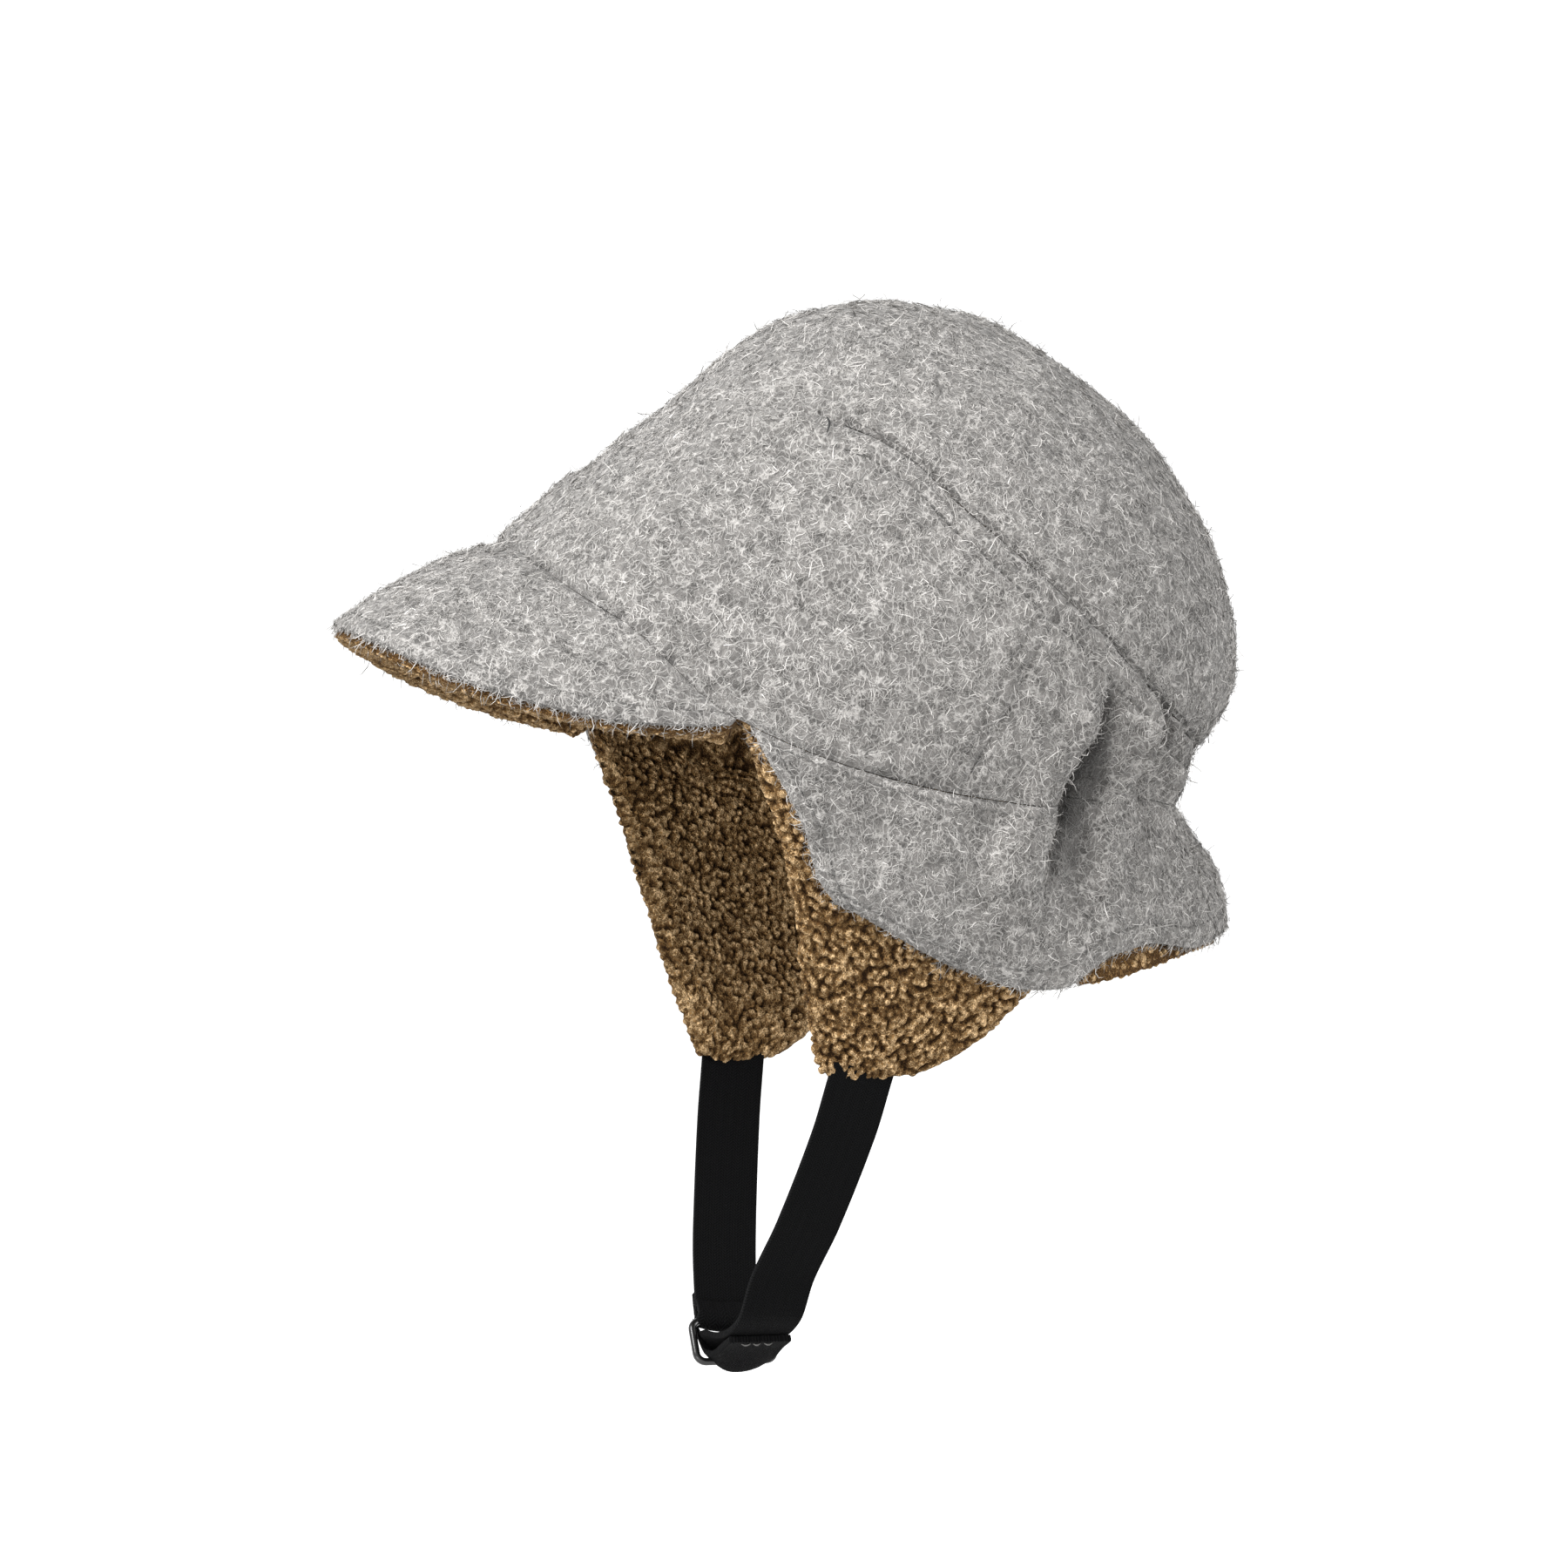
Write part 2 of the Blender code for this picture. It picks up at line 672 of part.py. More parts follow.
def strapTop(side):
    """Front and rear points where the strap leaves the flap."""
    middle = flapTip(side, STRAP_PLACE)
    along = (flapTip(side, 2 * STRAP_PLACE) - flapTip(side, 0.0)).normalized()
    half = along * (STRAP_WIDTH / 2)
    return [middle - half, middle + half]


def strapMiddle(side):
    """Middle line of a strap from its flap down to where it nears the loop."""
    top = sum(strapTop(side), Vector()) / 2
    shifts = [
        Vector((-row["inward"] * top.x, -row["forward"] * STRAP_LEAN, -row["down"] * STRAP_DROP))
        for row in STRAP_ROUTE
    ]
    return [top + shift for shift in shifts]


def smoothRoute(points, count):
    places = [0.0]
    for a, b in zip(points, points[1:]):
        places.append(places[-1] + (b - a).length)
    return [
        Vector([throughPoints(places, [point[axis] for point in points], place) for axis in range(3)])
        for place in evenly(0.0, places[-1], count)
    ]


def ribbonFrame(route, index, across):
    """Width direction and face direction of a strap at one point of its route."""
    before, after = route[max(index - 1, 0)], route[min(index + 1, len(route) - 1)]
    ahead = (after - before).normalized()
    wide = (across - ahead * across.dot(ahead)).normalized()
    return wide, ahead.cross(wide)


def buildRibbon(name, top, route, across, look):
    """Flat strap along the route with its width along across. top holds the points of its first edge."""
    outer, inner = [], []
    for index, point in enumerate(route):
        wide, face = ribbonFrame(route, index, across)
        half = wide * (STRAP_WIDTH / 2)
        edge = top if index == 0 else [point - half, point + half]
        outer.append([place + face * (STRAP_THICKNESS / 2) for place in edge])
        inner.append([place - face * (STRAP_THICKNESS / 2) for place in edge])
    return buildSlab(name, outer, inner, look)


def loopFrame():
    """Middle of the loop, the way down along its plane, and the way along its long bars."""
    top = sum(strapTop(1.0), Vector()) / 2
    middle = Vector((-LOOP_OFFSET, top.y - STRAP_LEAN, top.z - STRAP_DROP))
    slant = math.radians(LOOP_SLANT)
    down = Vector((math.sin(slant), 0.0, -math.cos(slant)))
    along = Vector((0.0, 1.0, 0.0))
    return middle, down, along


def turnRound(bar, start, axis, degrees, count=8):
    """Points on the arc round a bar, from start, by so many degrees about the axis."""
    turns = [Matrix.Rotation(angle, 3, axis) for angle in evenly(0.0, math.radians(degrees), count)]
    return [bar + turn @ (start - bar) for turn in turns]


def foldedRoute(side, bar, along, tail):
    """Route of a strap from its flap to a bar of the loop, round it, and back along its own outer face."""
    reach = LOOP_WIRE_RADIUS + SEAM_GAP + STRAP_THICKNESS / 2
    run = strapMiddle(side)
    toward = (bar - run[-1]).normalized()
    outward = along.cross(toward) * side
    if outward.z > 0.0:
        outward = -outward
    start = bar - outward * reach
    run = smoothRoute(run + [start - toward * BAR_APPROACH], 20) + [start]
    spin = 180.0 if toward.cross(outward).dot(along) > 0.0 else -180.0
    arc = turnRound(bar, start, along, spin)
    close = STRAP_THICKNESS + SEAM_GAP
    back = []
    for share in evenly(0.0, 1.0, 8)[1:]:
        length = tail * share
        index = len(run) - 1
        while length > (run[index] - run[index - 1]).length:
            length -= (run[index] - run[index - 1]).length
            index -= 1
        place = run[index].lerp(run[index - 1], length / (run[index] - run[index - 1]).length)
        _, face = ribbonFrame(run, index, along)
        if face.dot(outward) < 0.0:
            face = -face
        spread = close + (2.0 * reach - close) * (1.0 - smoothStep(0.0, TAIL_CLOSE, share))
        back.append(place + face * spread)
    return run + arc[1:] + back


def buildChinStraps():
    middle, down, along = loopFrame()
    upper_bar = middle - down * (LOOP_HEIGHT / 2)
    lower_bar = middle + down * (LOOP_HEIGHT / 2)
    for name, side, bar, tail in (
        ("chin_strap_left", 1.0, lower_bar, LEFT_TAIL),
        ("chin_strap_right", -1.0, upper_bar, RIGHT_TAIL),
    ):
        route = foldedRoute(side, bar, along, tail)
        buildRibbon(name, strapTop(side), route, along, BLACK_TAPE)


def buildStrapLoop():
    """Rounded rectangular loop of wire, as a closed curve with a round section."""
    middle, down, along = loopFrame()
    corner = 2.0 * LOOP_WIRE_RADIUS
    half_long = LOOP_LENGTH / 2
    half_high = LOOP_HEIGHT / 2
    points = []
    for quarter, (long_sign, high_sign) in enumerate(((1, 1), (-1, 1), (-1, -1), (1, -1))):
        for angle in evenly(quarter * math.pi / 2, (quarter + 1) * math.pi / 2, 3):
            along_share = long_sign * (half_long - corner) + corner * math.cos(angle)
            down_share = high_sign * (half_high - corner) + corner * math.sin(angle)
            points.append(middle + along * along_share + down * down_share)
    curve = bpy.data.curves.new("strap_loop", "CURVE")
    curve.dimensions = "3D"
    curve.bevel_depth = LOOP_WIRE_RADIUS
    curve.bevel_resolution = 2
    spline = curve.splines.new("POLY")
    spline.points.add(len(points) - 1)
    for place, point in zip(spline.points, points):
        place.co = (*point, 1.0)
    spline.use_cyclic_u = True
    curve.materials.append(bpy.data.materials[BLACK_PLASTIC["name"]])
    obj = bpy.data.objects.new("strap_loop", curve)
    bpy.context.scene.collection.objects.link(obj)
    return obj


def main():
    clearScene()
    for look in (GREY_WOOL, BROWN_FLEECE, BLACK_TAPE, BLACK_PLASTIC):
        makeMaterial(look)
    buildCrownDome()
    buildCrownPanels()
    buildPeak()
    buildNeckCurtain()
    buildCurtainLining()
    buildCrownLining()
    buildEarFlap("ear_flap_left", 1.0)
    buildEarFlap("ear_flap_right", -1.0)
    buildChinStraps()
    buildStrapLoop()


main()
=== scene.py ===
import math

import bpy
import numpy as np
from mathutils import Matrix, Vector
from mathutils.kdtree import KDTree


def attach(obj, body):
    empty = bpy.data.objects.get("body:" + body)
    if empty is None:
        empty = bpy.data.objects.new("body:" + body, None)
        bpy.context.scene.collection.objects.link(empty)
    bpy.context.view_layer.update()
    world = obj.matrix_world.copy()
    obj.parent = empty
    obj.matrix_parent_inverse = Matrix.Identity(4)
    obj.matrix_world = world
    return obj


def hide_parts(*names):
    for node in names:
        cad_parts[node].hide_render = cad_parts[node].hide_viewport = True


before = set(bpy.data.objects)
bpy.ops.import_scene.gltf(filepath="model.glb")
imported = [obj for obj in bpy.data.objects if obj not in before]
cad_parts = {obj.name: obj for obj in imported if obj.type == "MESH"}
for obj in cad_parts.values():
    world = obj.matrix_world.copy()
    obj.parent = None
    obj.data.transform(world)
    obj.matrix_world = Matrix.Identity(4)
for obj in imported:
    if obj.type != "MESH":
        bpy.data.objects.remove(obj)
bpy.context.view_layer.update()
print("frame loaded")

# Form of the hat. turn is in degrees from the front, and a station is a place between apex and edge.
hat = {
    "halfLength": 0.1075,
    "halfWidth": 0.088,
    "height": 0.123,
    "wool": 0.002,
    "fleece": 0.005,
    "layerGap": 0.0008,
    "seamGap": 0.0004,
    "edge": 7,
    "skirtStep": 0.045,
    "skirtBlend": 0.015,
    "twistStation": 3.0,
    "foldDepth": 0.0065,
    "foldEase": 0.0016,
    "foldRise": 0.3,
    "foldFade": 0.45,
}
meridians = {
    "turn": (0.0, 28.0, 47.0, 85.0, 130.0, 180.0),
    "reach": (
        (0.25, 0.392, 0.64, 0.77, 0.872, 0.957, 1.033),
        (0.262, 0.408, 0.66, 0.815, 0.93, 1.01, 1.062),
        (0.272, 0.429, 0.669, 0.836, 0.951, 1.009, 1.025),
        (0.272, 0.431, 0.681, 0.851, 0.965, 1.005, 0.965),
        (0.272, 0.445, 0.705, 0.892, 0.988, 1.008, 0.89),
        (0.245, 0.43, 0.68, 0.843, 0.94, 0.962, 0.77),
    ),
    "rise": (
        (0.96, 0.886, 0.707, 0.622, 0.558, 0.495, 0.43),
        (0.96, 0.886, 0.707, 0.588, 0.488, 0.388, 0.29),
        (0.96, 0.882, 0.707, 0.537, 0.358, 0.179, 0.024),
        (0.963, 0.89, 0.724, 0.537, 0.333, 0.098, -0.142),
        (0.967, 0.894, 0.724, 0.52, 0.317, 0.089, -0.165),
        (0.972, 0.894, 0.732, 0.545, 0.358, 0.115, -0.146),
    ),
    "skirt": (
        (1.01, 0.98, 0.93, 0.8),
        (1.04, 1.0, 0.94, 0.79),
        (0.993, 0.962, 0.915, 0.763),
        (0.959, 0.931, 0.88, 0.67),
        (0.893, 0.925, 0.945, 0.93),
        (0.85, 0.94, 0.975, 0.99),
    ),
    "skirtStations": (0.0, 0.3, 0.6, 1.0, 1.9),
}
domeSeam = (
    (0.0, 30.0, 57.0, 76.0, 88.0, 100.0, 109.0, 121.0, 133.0, 153.0, 180.0),
    (2.7, 2.75, 3.0, 3.5, 4.15, 4.75, 5.2, 5.8, 6.25, 6.55, 6.65),
)
sideSeam = ((0.0, 0.5, 0.8, 1.0), (107.0, 97.0, 90.5, 85.0))

# Folds pulled in by the elastic: turn, lean, width, depth, top and foot
folds = (
    (70.0, 2.0, 5.0, -0.3, -0.06, -0.36),
    (102.0, 3.0, 5.0, 0.45, 0.0, -0.55),
    (111.0, 1.0, 2.8, 0.4, 0.1, -0.11),
    (121.0, 12.0, 4.6, -1.0, 0.08, -0.52),
    (125.5, 2.0, 4.0, 0.55, 0.1, -0.14),
    (135.0, 2.0, 4.0, -0.55, 0.02, -0.3),
    (145.0, -2.0, 4.5, 0.45, -0.02, -0.45),
    (155.0, -3.0, 4.0, -0.5, -0.03, -0.4),
    (165.0, -3.0, 4.5, 0.4, -0.04, -0.45),
    (174.0, -2.0, 4.0, -0.4, -0.04, -0.38),
)
# Finer folds that only the cloth shows, on the same terms
fineFolds = (
    (117.0, 16.0, 2.6, -0.85, 0.03, -0.47),
    (113.0, 3.0, 2.6, -1.35, 0.0, -0.25),
    (109.0, 2.0, 2.4, 0.35, 0.12, -0.14),
    (115.5, 2.0, 2.0, -0.8, 0.13, -0.1),
    (119.0, 1.0, 1.6, 0.25, 0.08, -0.12),
    (123.5, 1.0, 2.6, 0.75, 0.1, -0.19),
    (128.5, 1.0, 2.1, -1.15, 0.1, -0.16),
    (134.0, 2.0, 2.4, 0.4, 0.08, -0.2),
    (119.0, 3.0, 5.5, 0.5, -0.13, -0.56),
    (99.0, 9.0, 4.0, 0.3, -0.1, -0.52),
    (140.0, 1.0, 2.0, -0.22, 0.06, -0.24),
    (150.0, 0.0, 2.0, -0.2, 0.05, -0.26),
    (160.5, 0.0, 2.0, -0.22, 0.04, -0.25),
    (170.0, 0.0, 2.0, -0.18, 0.04, -0.24),
    (94.0, 6.0, 3.2, -0.12, -0.05, -0.5),
    (83.0, 5.0, 4.0, 0.12, -0.04, -0.6),
)
slackTurns = (-7.0, -3.5, 0.0, 3.5, 7.0)
slackHeights = (-0.008, 0.0, 0.008)


def smoothStep(low, high, value):
    share = np.clip((np.asarray(value, float) - low) / (high - low), 0.0, 1.0)
    return share * share * (3.0 - 2.0 * share)


def throughPoints(places, values, at):
    # smooth curve through the values, which may be one row for all of at or one column for each
    places = np.asarray(places, float)
    values = np.asarray(values, float)
    at = np.clip(np.asarray(at, float), places[0], places[-1])
    if values.ndim == 1:
        values = np.repeat(values[:, None], at.size, axis=1)
    count = len(places)
    before = np.maximum(np.arange(count) - 1, 0)
    after = np.minimum(np.arange(count) + 1, count - 1)
    slopes = (values[after] - values[before]) / (places[after] - places[before])[:, None]
    low = np.clip(np.searchsorted(places, at, side="left") - 1, 0, count - 2)
    span = places[low + 1] - places[low]
    share = (at - places[low]) / span
    pick = np.arange(at.size)
    a, b = values[low, pick], values[low + 1, pick]
    m, n = slopes[low, pick] * span, slopes[low + 1, pick] * span
    square, cube = share**2, share**3
    return (
        a * (2 * cube - 3 * square + 1)
        + m * (cube - 2 * square + share)
        + b * (3 * square - 2 * cube)
        + n * (cube - square)
    )


def bell(value, width):
    return np.exp(-((value / width) ** 2))


def foldedTurn(turn):
    return np.abs((turn + 180.0) % 360.0 - 180.0)


def aroundCurve(turns, values, at):
    # curve carried on past the front and the nape as the other side has it
    turns = list(turns)
    values = list(values)
    places = [-t for t in turns[:0:-1]] + turns + [360.0 - t for t in turns[-2::-1]]
    return throughPoints(places, values[:0:-1] + values + values[-2::-1], foldedTurn(at))


def planRadius(turn):
    angle = np.radians(turn)
    return 1.0 / np.hypot(np.sin(angle) / hat["halfWidth"], np.cos(angle) / hat["halfLength"])


def placed(turn, radius, height):
    angle = np.radians(turn)
    return np.stack([radius * np.sin(angle), -radius * np.cos(angle), height], axis=-1)


def peakTwist(turn):
    share = np.clip(((turn + 180.0) % 360.0 - 180.0) / peakForm["templeTurn"], -1.0, 1.0)
    return -peakForm["twist"] * np.sin(math.pi * share)


peakForm = {
    "templeTurn": 47.0, "reach": 0.0925, "tipHeight": 0.03, "twist": 0.0042, "arch": 0.003, "end": 0.98,
}


def crownStations(turn):
    # radius and height of every station, with one more before the apex and one past the edge
    base = planRadius(turn)
    twist = peakTwist(turn)
    radii = [np.zeros_like(turn)]
    heights = [np.full_like(turn, hat["height"])]
    for index in range(hat["edge"]):
        reach = aroundCurve(meridians["turn"], [row[index] for row in meridians["reach"]], turn)
        rise = aroundCurve(meridians["turn"], [row[index] for row in meridians["rise"]], turn)
        radii.append(base * reach)
        heights.append(hat["height"] * rise + twist * smoothStep(hat["twistStation"], hat["edge"], index + 1))
    radii = [-radii[1]] + radii + [2 * radii[-1] - radii[-2]]
    heights = [heights[1]] + heights + [2 * heights[-1] - heights[-2]]
    return np.array(radii), np.array(heights)


def crownPoint(turn, station):
    radii, heights = crownStations(turn)
    low = np.clip(np.floor(station).astype(int), 0, hat["edge"] - 1)
    share = station - low
    square, cube = share**2, share**3
    weights = (
        (-cube + 2 * square - share) / 2,
        (3 * cube - 5 * square + 2) / 2,
        (-3 * cube + 4 * square + share) / 2,
        (cube - square) / 2,
    )
    pick = np.arange(turn.size)
    radius = sum(weight * radii[low + step, pick] for step, weight in enumerate(weights))
    height = sum(weight * heights[low + step, pick] for step, weight in enumerate(weights))
    return placed(turn, radius, height)


def edgeOf(turn):
    radii, heights = crownStations(turn)
    return radii[-2], heights[-2]


def skirtPoint(turn, drop):
    radius, height = edgeOf(turn)
    shares = [radius / planRadius(turn)]
    for index in range(4):
        shares.append(aroundCurve(meridians["turn"], [row[index] for row in meridians["skirt"]], turn))
    reach = throughPoints(meridians["skirtStations"], np.array(shares), drop / hat["skirtStep"])
    return placed(turn, reach * planRadius(turn), height - drop)


def unit(vectors):
    return vectors / np.maximum(np.linalg.norm(vectors, axis=-1, keepdims=True), 1e-12)


def normalOf(surface, first, second, firstStep, secondStep):
    across = surface(first + firstStep, second) - surface(first - firstStep, second)
    along = surface(first, second + secondStep) - surface(first, second - secondStep)
    return unit(np.cross(along, across))


def crownNormal(turn, station):
    normal = normalOf(crownPoint, turn, np.clip(station, 0.1, hat["edge"] - 0.1), 1.0, 0.1)
    top = (1.0 - smoothStep(0.0, 0.25, station))[:, None]
    return unit(normal * (1.0 - top) + np.array([0.0, 0.0, 1.0]) * top)


def skirtNormal(turn, drop):
    own = normalOf(skirtPoint, turn, np.maximum(drop, 0.004), 1.0, 0.002)
    share = smoothStep(0.0, hat["skirtBlend"], drop)[:, None]
    edge = crownNormal(turn, np.full_like(turn, hat["edge"]))
    return unit(edge * (1.0 - share) + own * share)


def foldHeight(turn, height, rows=folds):
    small = foldedTurn(turn)
    share = height / hat["height"]
    total = np.zeros_like(share)
    for middle, lean, width, depth, top, foot in rows:
        down = (top - share) / (top - foot)
        across = bell(small - middle + lean * down, width)
        along = smoothStep(0.0, hat["foldRise"], down) * smoothStep(0.0, hat["foldFade"], 1.0 - down)
        total += depth * across * along * ((down > 0.0) & (down < 1.0))
    return hat["foldDepth"] * total


def foldSlack(turn, height, rows=folds):
    shifts = [(a, b) for a in slackTurns for b in slackHeights]
    deepest = np.max([-foldHeight(turn + a, height + b, rows) for a, b in shifts], axis=0)
    gathered = smoothStep(95.0, 115.0, foldedTurn(turn)) * smoothStep(-0.3, -0.17, -height / hat["height"])
    return np.maximum(deepest, 0.0) + hat["foldEase"] * gathered


def waves(points, size, seed, count=28):
    # even random relief of about this wavelength, from -1 to 1
    rng = np.random.default_rng(seed)
    total = np.zeros(points.shape[:-1])
    for _ in range(count):
        way = unit(rng.normal(size=3)) * 2 * math.pi / (size * rng.uniform(0.75, 1.4))
        total += np.sin(points @ way + rng.uniform(0, 2 * math.pi))
    return total / math.sqrt(count) * 0.8


def spread(count, crowd=0.0):
    # even shares from 0 to 1, crowded towards both ends if asked
    share = np.linspace(0.0, 1.0, count + 1)
    return share - crowd * np.sin(2 * math.pi * share) / (2 * math.pi)


def rideObject(name, mesh):
    mesh.validate()
    mesh.shade_smooth()
    obj = bpy.data.objects.new(name, mesh)
    bpy.context.scene.collection.objects.link(obj)
    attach(obj, "root")
    return obj


def makeMesh(name, points, faces):
    mesh = bpy.data.meshes.new(name)
    mesh.from_pydata([tuple(p) for p in points], [], faces)
    return rideObject(name, mesh)


def finishPiece(obj, material, node=None):
    obj.data.materials.append(material)
    if node:
        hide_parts(node)
    print(obj.name, len(obj.data.polygons), "faces")
    return obj


def tubeFaces(base, rings, sides):
    # a closed tube over rings of points that start at base
    faces = []
    for ring in range(rings - 1):
        for side in range(sides):
            a, b = base + ring * sides + side, base + ring * sides + (side + 1) % sides
            faces.append((a, b, b + sides, a + sides))
    faces.append(tuple(range(base, base + sides))[::-1])
    last = base + (rings - 1) * sides
    faces.append(tuple(range(last, last + sides)))
    return faces


def ringAt(place, wide, up, radius, sides):
    angles = [2 * math.pi * side / sides for side in range(sides)]
    return [place + wide * radius * math.cos(angle) + up * radius * math.sin(angle) for angle in angles]


def addAttribute(obj, name, values):
    layer = obj.data.attributes.new(name, "FLOAT", "POINT")
    layer.data.foreach_set("value", np.asarray(values, dtype=np.float32))


def borderDistances(grid):
    # how far each point is from the first and last row, and from the first and last column
    down = np.linalg.norm(np.diff(grid, axis=0), axis=2)
    top = np.concatenate([np.zeros((1, grid.shape[1])), np.cumsum(down, axis=0)])
    across = np.linalg.norm(np.diff(grid, axis=1), axis=2)
    left = np.concatenate([np.zeros((grid.shape[0], 1)), np.cumsum(across, axis=1)], axis=1)
    return {"top": top, "foot": top[-1] - top, "left": left, "right": left[:, -1:] - left}


def shellFaces(rows, columns, innerRows, wraps, capped):
    # faces of a closed shell: a fine outer grid, a coarser inner one and the rims between them
    outer = np.arange(rows * columns).reshape(rows, columns)
    inner = outer.size + np.arange(len(innerRows) * columns).reshape(len(innerRows), columns)
    ends = columns if wraps else columns - 1
    faces = []
    for grid, turned in ((outer, False), (inner, True)):
        for r in range(grid.shape[0] - 1):
            for c in range(ends):
                d = (c + 1) % columns
                quad = [grid[r, c], grid[r + 1, c], grid[r + 1, d], grid[r, d]]
                if capped and r == 0:
                    quad = [grid[0, 0], grid[1, c], grid[1, d]]
                faces.append([int(v) for v in (quad[::-1] if turned else quad)])
    for r, s, turned in ((rows - 1, len(innerRows) - 1, False), (0, 0, True)):
        if capped and r == 0:
            continue
        for c in range(ends):
            d = (c + 1) % columns
            quad = [outer[r, c], inner[s, c], inner[s, d], outer[r, d]]
            faces.append([int(v) for v in (quad[::-1] if turned else quad)])
    if not wraps:
        for c, turned in ((0, False), (columns - 1, True)):
            for s in range(len(innerRows) - 1):
                a, b = innerRows[s], innerRows[s + 1]
                ring = [int(v) for v in outer[a : b + 1, c]] + [int(inner[s + 1, c]), int(inner[s, c])]
                faces.append(ring[::-1] if turned else ring)
    return faces


def everyRow(last, step):
    return list(range(0, last, step)) + [last]


def makeShell(name, outer, innerRows, inner, wraps=False, capped=False):
    rows, columns = outer.shape[:2]
    points = np.concatenate([outer.reshape(-1, 3), inner.reshape(-1, 3)])
    obj = makeMesh(name, points, shellFaces(rows, columns, innerRows, wraps, capped))
    obj.data.set_sharp_from_angle(angle=math.radians(cloth["sharpAngle"]))
    return obj


cloth = {
    "fineLump": 0.35, "valleyWidth": 0.005, "pucker": 0.35, "ridge": 0.35, "ridgeWidth": 3.2,
    "foldShadeFrom": 0.001, "foldShadeTo": 0.0068, "sharpAngle": 60.0, "stitchPitch": 0.0034,
}


def reliefOf(panel, base, fades):
    # seams sink their edges, topstitching draws a channel, and both pucker the cloth between stitches
    distances = borderDistances(base)
    relief = panel["lump"] * waves(base, panel["lumpSize"], panel["seed"])
    relief += cloth["fineLump"] * panel["lump"] * waves(base, panel["lumpSize"] / 3, panel["seed"] + 1)
    for side, depth, width in panel["edges"]:
        share = fades.get(side, 1.0)
        relief -= share * depth * bell(distances[side], width)
        if side in ("top", "foot"):
            relief -= share * panel.get("valley", 0.0) * np.exp(-distances[side] / cloth["valleyWidth"])
    for side, away, depth, width in panel["channels"]:
        depth = depth * fades.get(side, 1.0)
        line = bell(distances[side] - away, width)
        other = distances["left" if side in ("top", "foot") else "top"]
        pucker = 1.0 + cloth["pucker"] * np.sin(other * 2 * math.pi / cloth["stitchPitch"])
        relief -= depth * line * pucker
        relief += cloth["ridge"] * depth * bell(distances[side] - away, cloth["ridgeWidth"] * width)
    return relief, distances


def makePanel(panel, base, normal, rise, fades, wraps=False, capped=False):
    # rise holds the folds, which go through the cloth, and the relief is on its face alone
    relief, distances = reliefOf(panel, base, fades)
    if capped:
        relief[0] = relief[0].mean()
    outer = base + normal * (rise + relief)[..., None]
    innerRows = everyRow(base.shape[0] - 1, panel["innerStep"])
    inner = (base + normal * (rise - hat["wool"])[..., None])[innerRows]
    obj = makeShell(panel["name"], outer, innerRows, inner, wraps, capped)
    # painted shade: foldShade is how deep the cloth lies in a gather, and the wool and mohair materials
    # darken their colour by it
    foldShade = smoothStep(cloth["foldShadeFrom"], cloth["foldShadeTo"], -rise)
    addAttribute(obj, "foldShade", np.concatenate([foldShade.ravel(), np.zeros(inner.size // 3)]))
    finishPiece(obj, woolMaterial, panel["node"])
    return {"outer": outer, "distances": distances, "wraps": wraps, "fades": fades, "foldShade": foldShade}


def feed(tree, node, values):
    # links what is a socket and sets the rest
    for key, value in values:
        if isinstance(value, bpy.types.NodeSocket):
            tree.links.new(value, node.inputs[key])
        else:
            node.inputs[key].default_value = value
    return node


def nodeOf(tree, kind, values=None, **settings):
    node = tree.nodes.new("ShaderNode" + kind)
    for key, value in settings.items():
        setattr(node, key, value)
    return feed(tree, node, (values or {}).items())


def mathOf(tree, operation, *values):
    return feed(tree, nodeOf(tree, "Math", operation=operation), enumerate(values)).outputs[0]


def vectorOf(tree, operation, values):
    return nodeOf(tree, "VectorMath", values, operation=operation).outputs[0]


def mixOf(tree, share, first, second):
    node = nodeOf(tree, "Mix", data_type="RGBA")
    return feed(tree, node, ((0, share), (6, first), (7, second))).outputs[2]


def placeOf(tree):
    return nodeOf(tree, "TexCoord").outputs["Object"]


def attributeOf(tree, name):
    return nodeOf(tree, "Attribute", attribute_name=name).outputs["Fac"]


def noiseOf(tree, place, scale, detail, roughness=0.5):
    values = {"Vector": place, "Scale": scale, "Detail": detail, "Roughness": roughness}
    return nodeOf(tree, "TexNoise", values).outputs["Fac"]


def rampOf(tree, value, stops):
    node = nodeOf(tree, "ValToRGB", {"Fac": value})
    elements = node.color_ramp.elements
    while len(elements) < len(stops):
        elements.new(0.5)
    for element, (place, color) in zip(elements, stops):
        element.position = place
        element.color = (*color, 1.0)
    return node.outputs["Color"]


def newGroup(name, inputs, outputs):
    group = bpy.data.node_groups.new(name, "ShaderNodeTree")
    for label, kind, value in inputs:
        socket = group.interface.new_socket(label, in_out="INPUT", socket_type=kind)
        if value is not None:
            socket.default_value = value
    for label, kind in outputs:
        group.interface.new_socket(label, in_out="OUTPUT", socket_type=kind)
    return group, group.nodes.new("NodeGroupInput"), group.nodes.new("NodeGroupOutput")


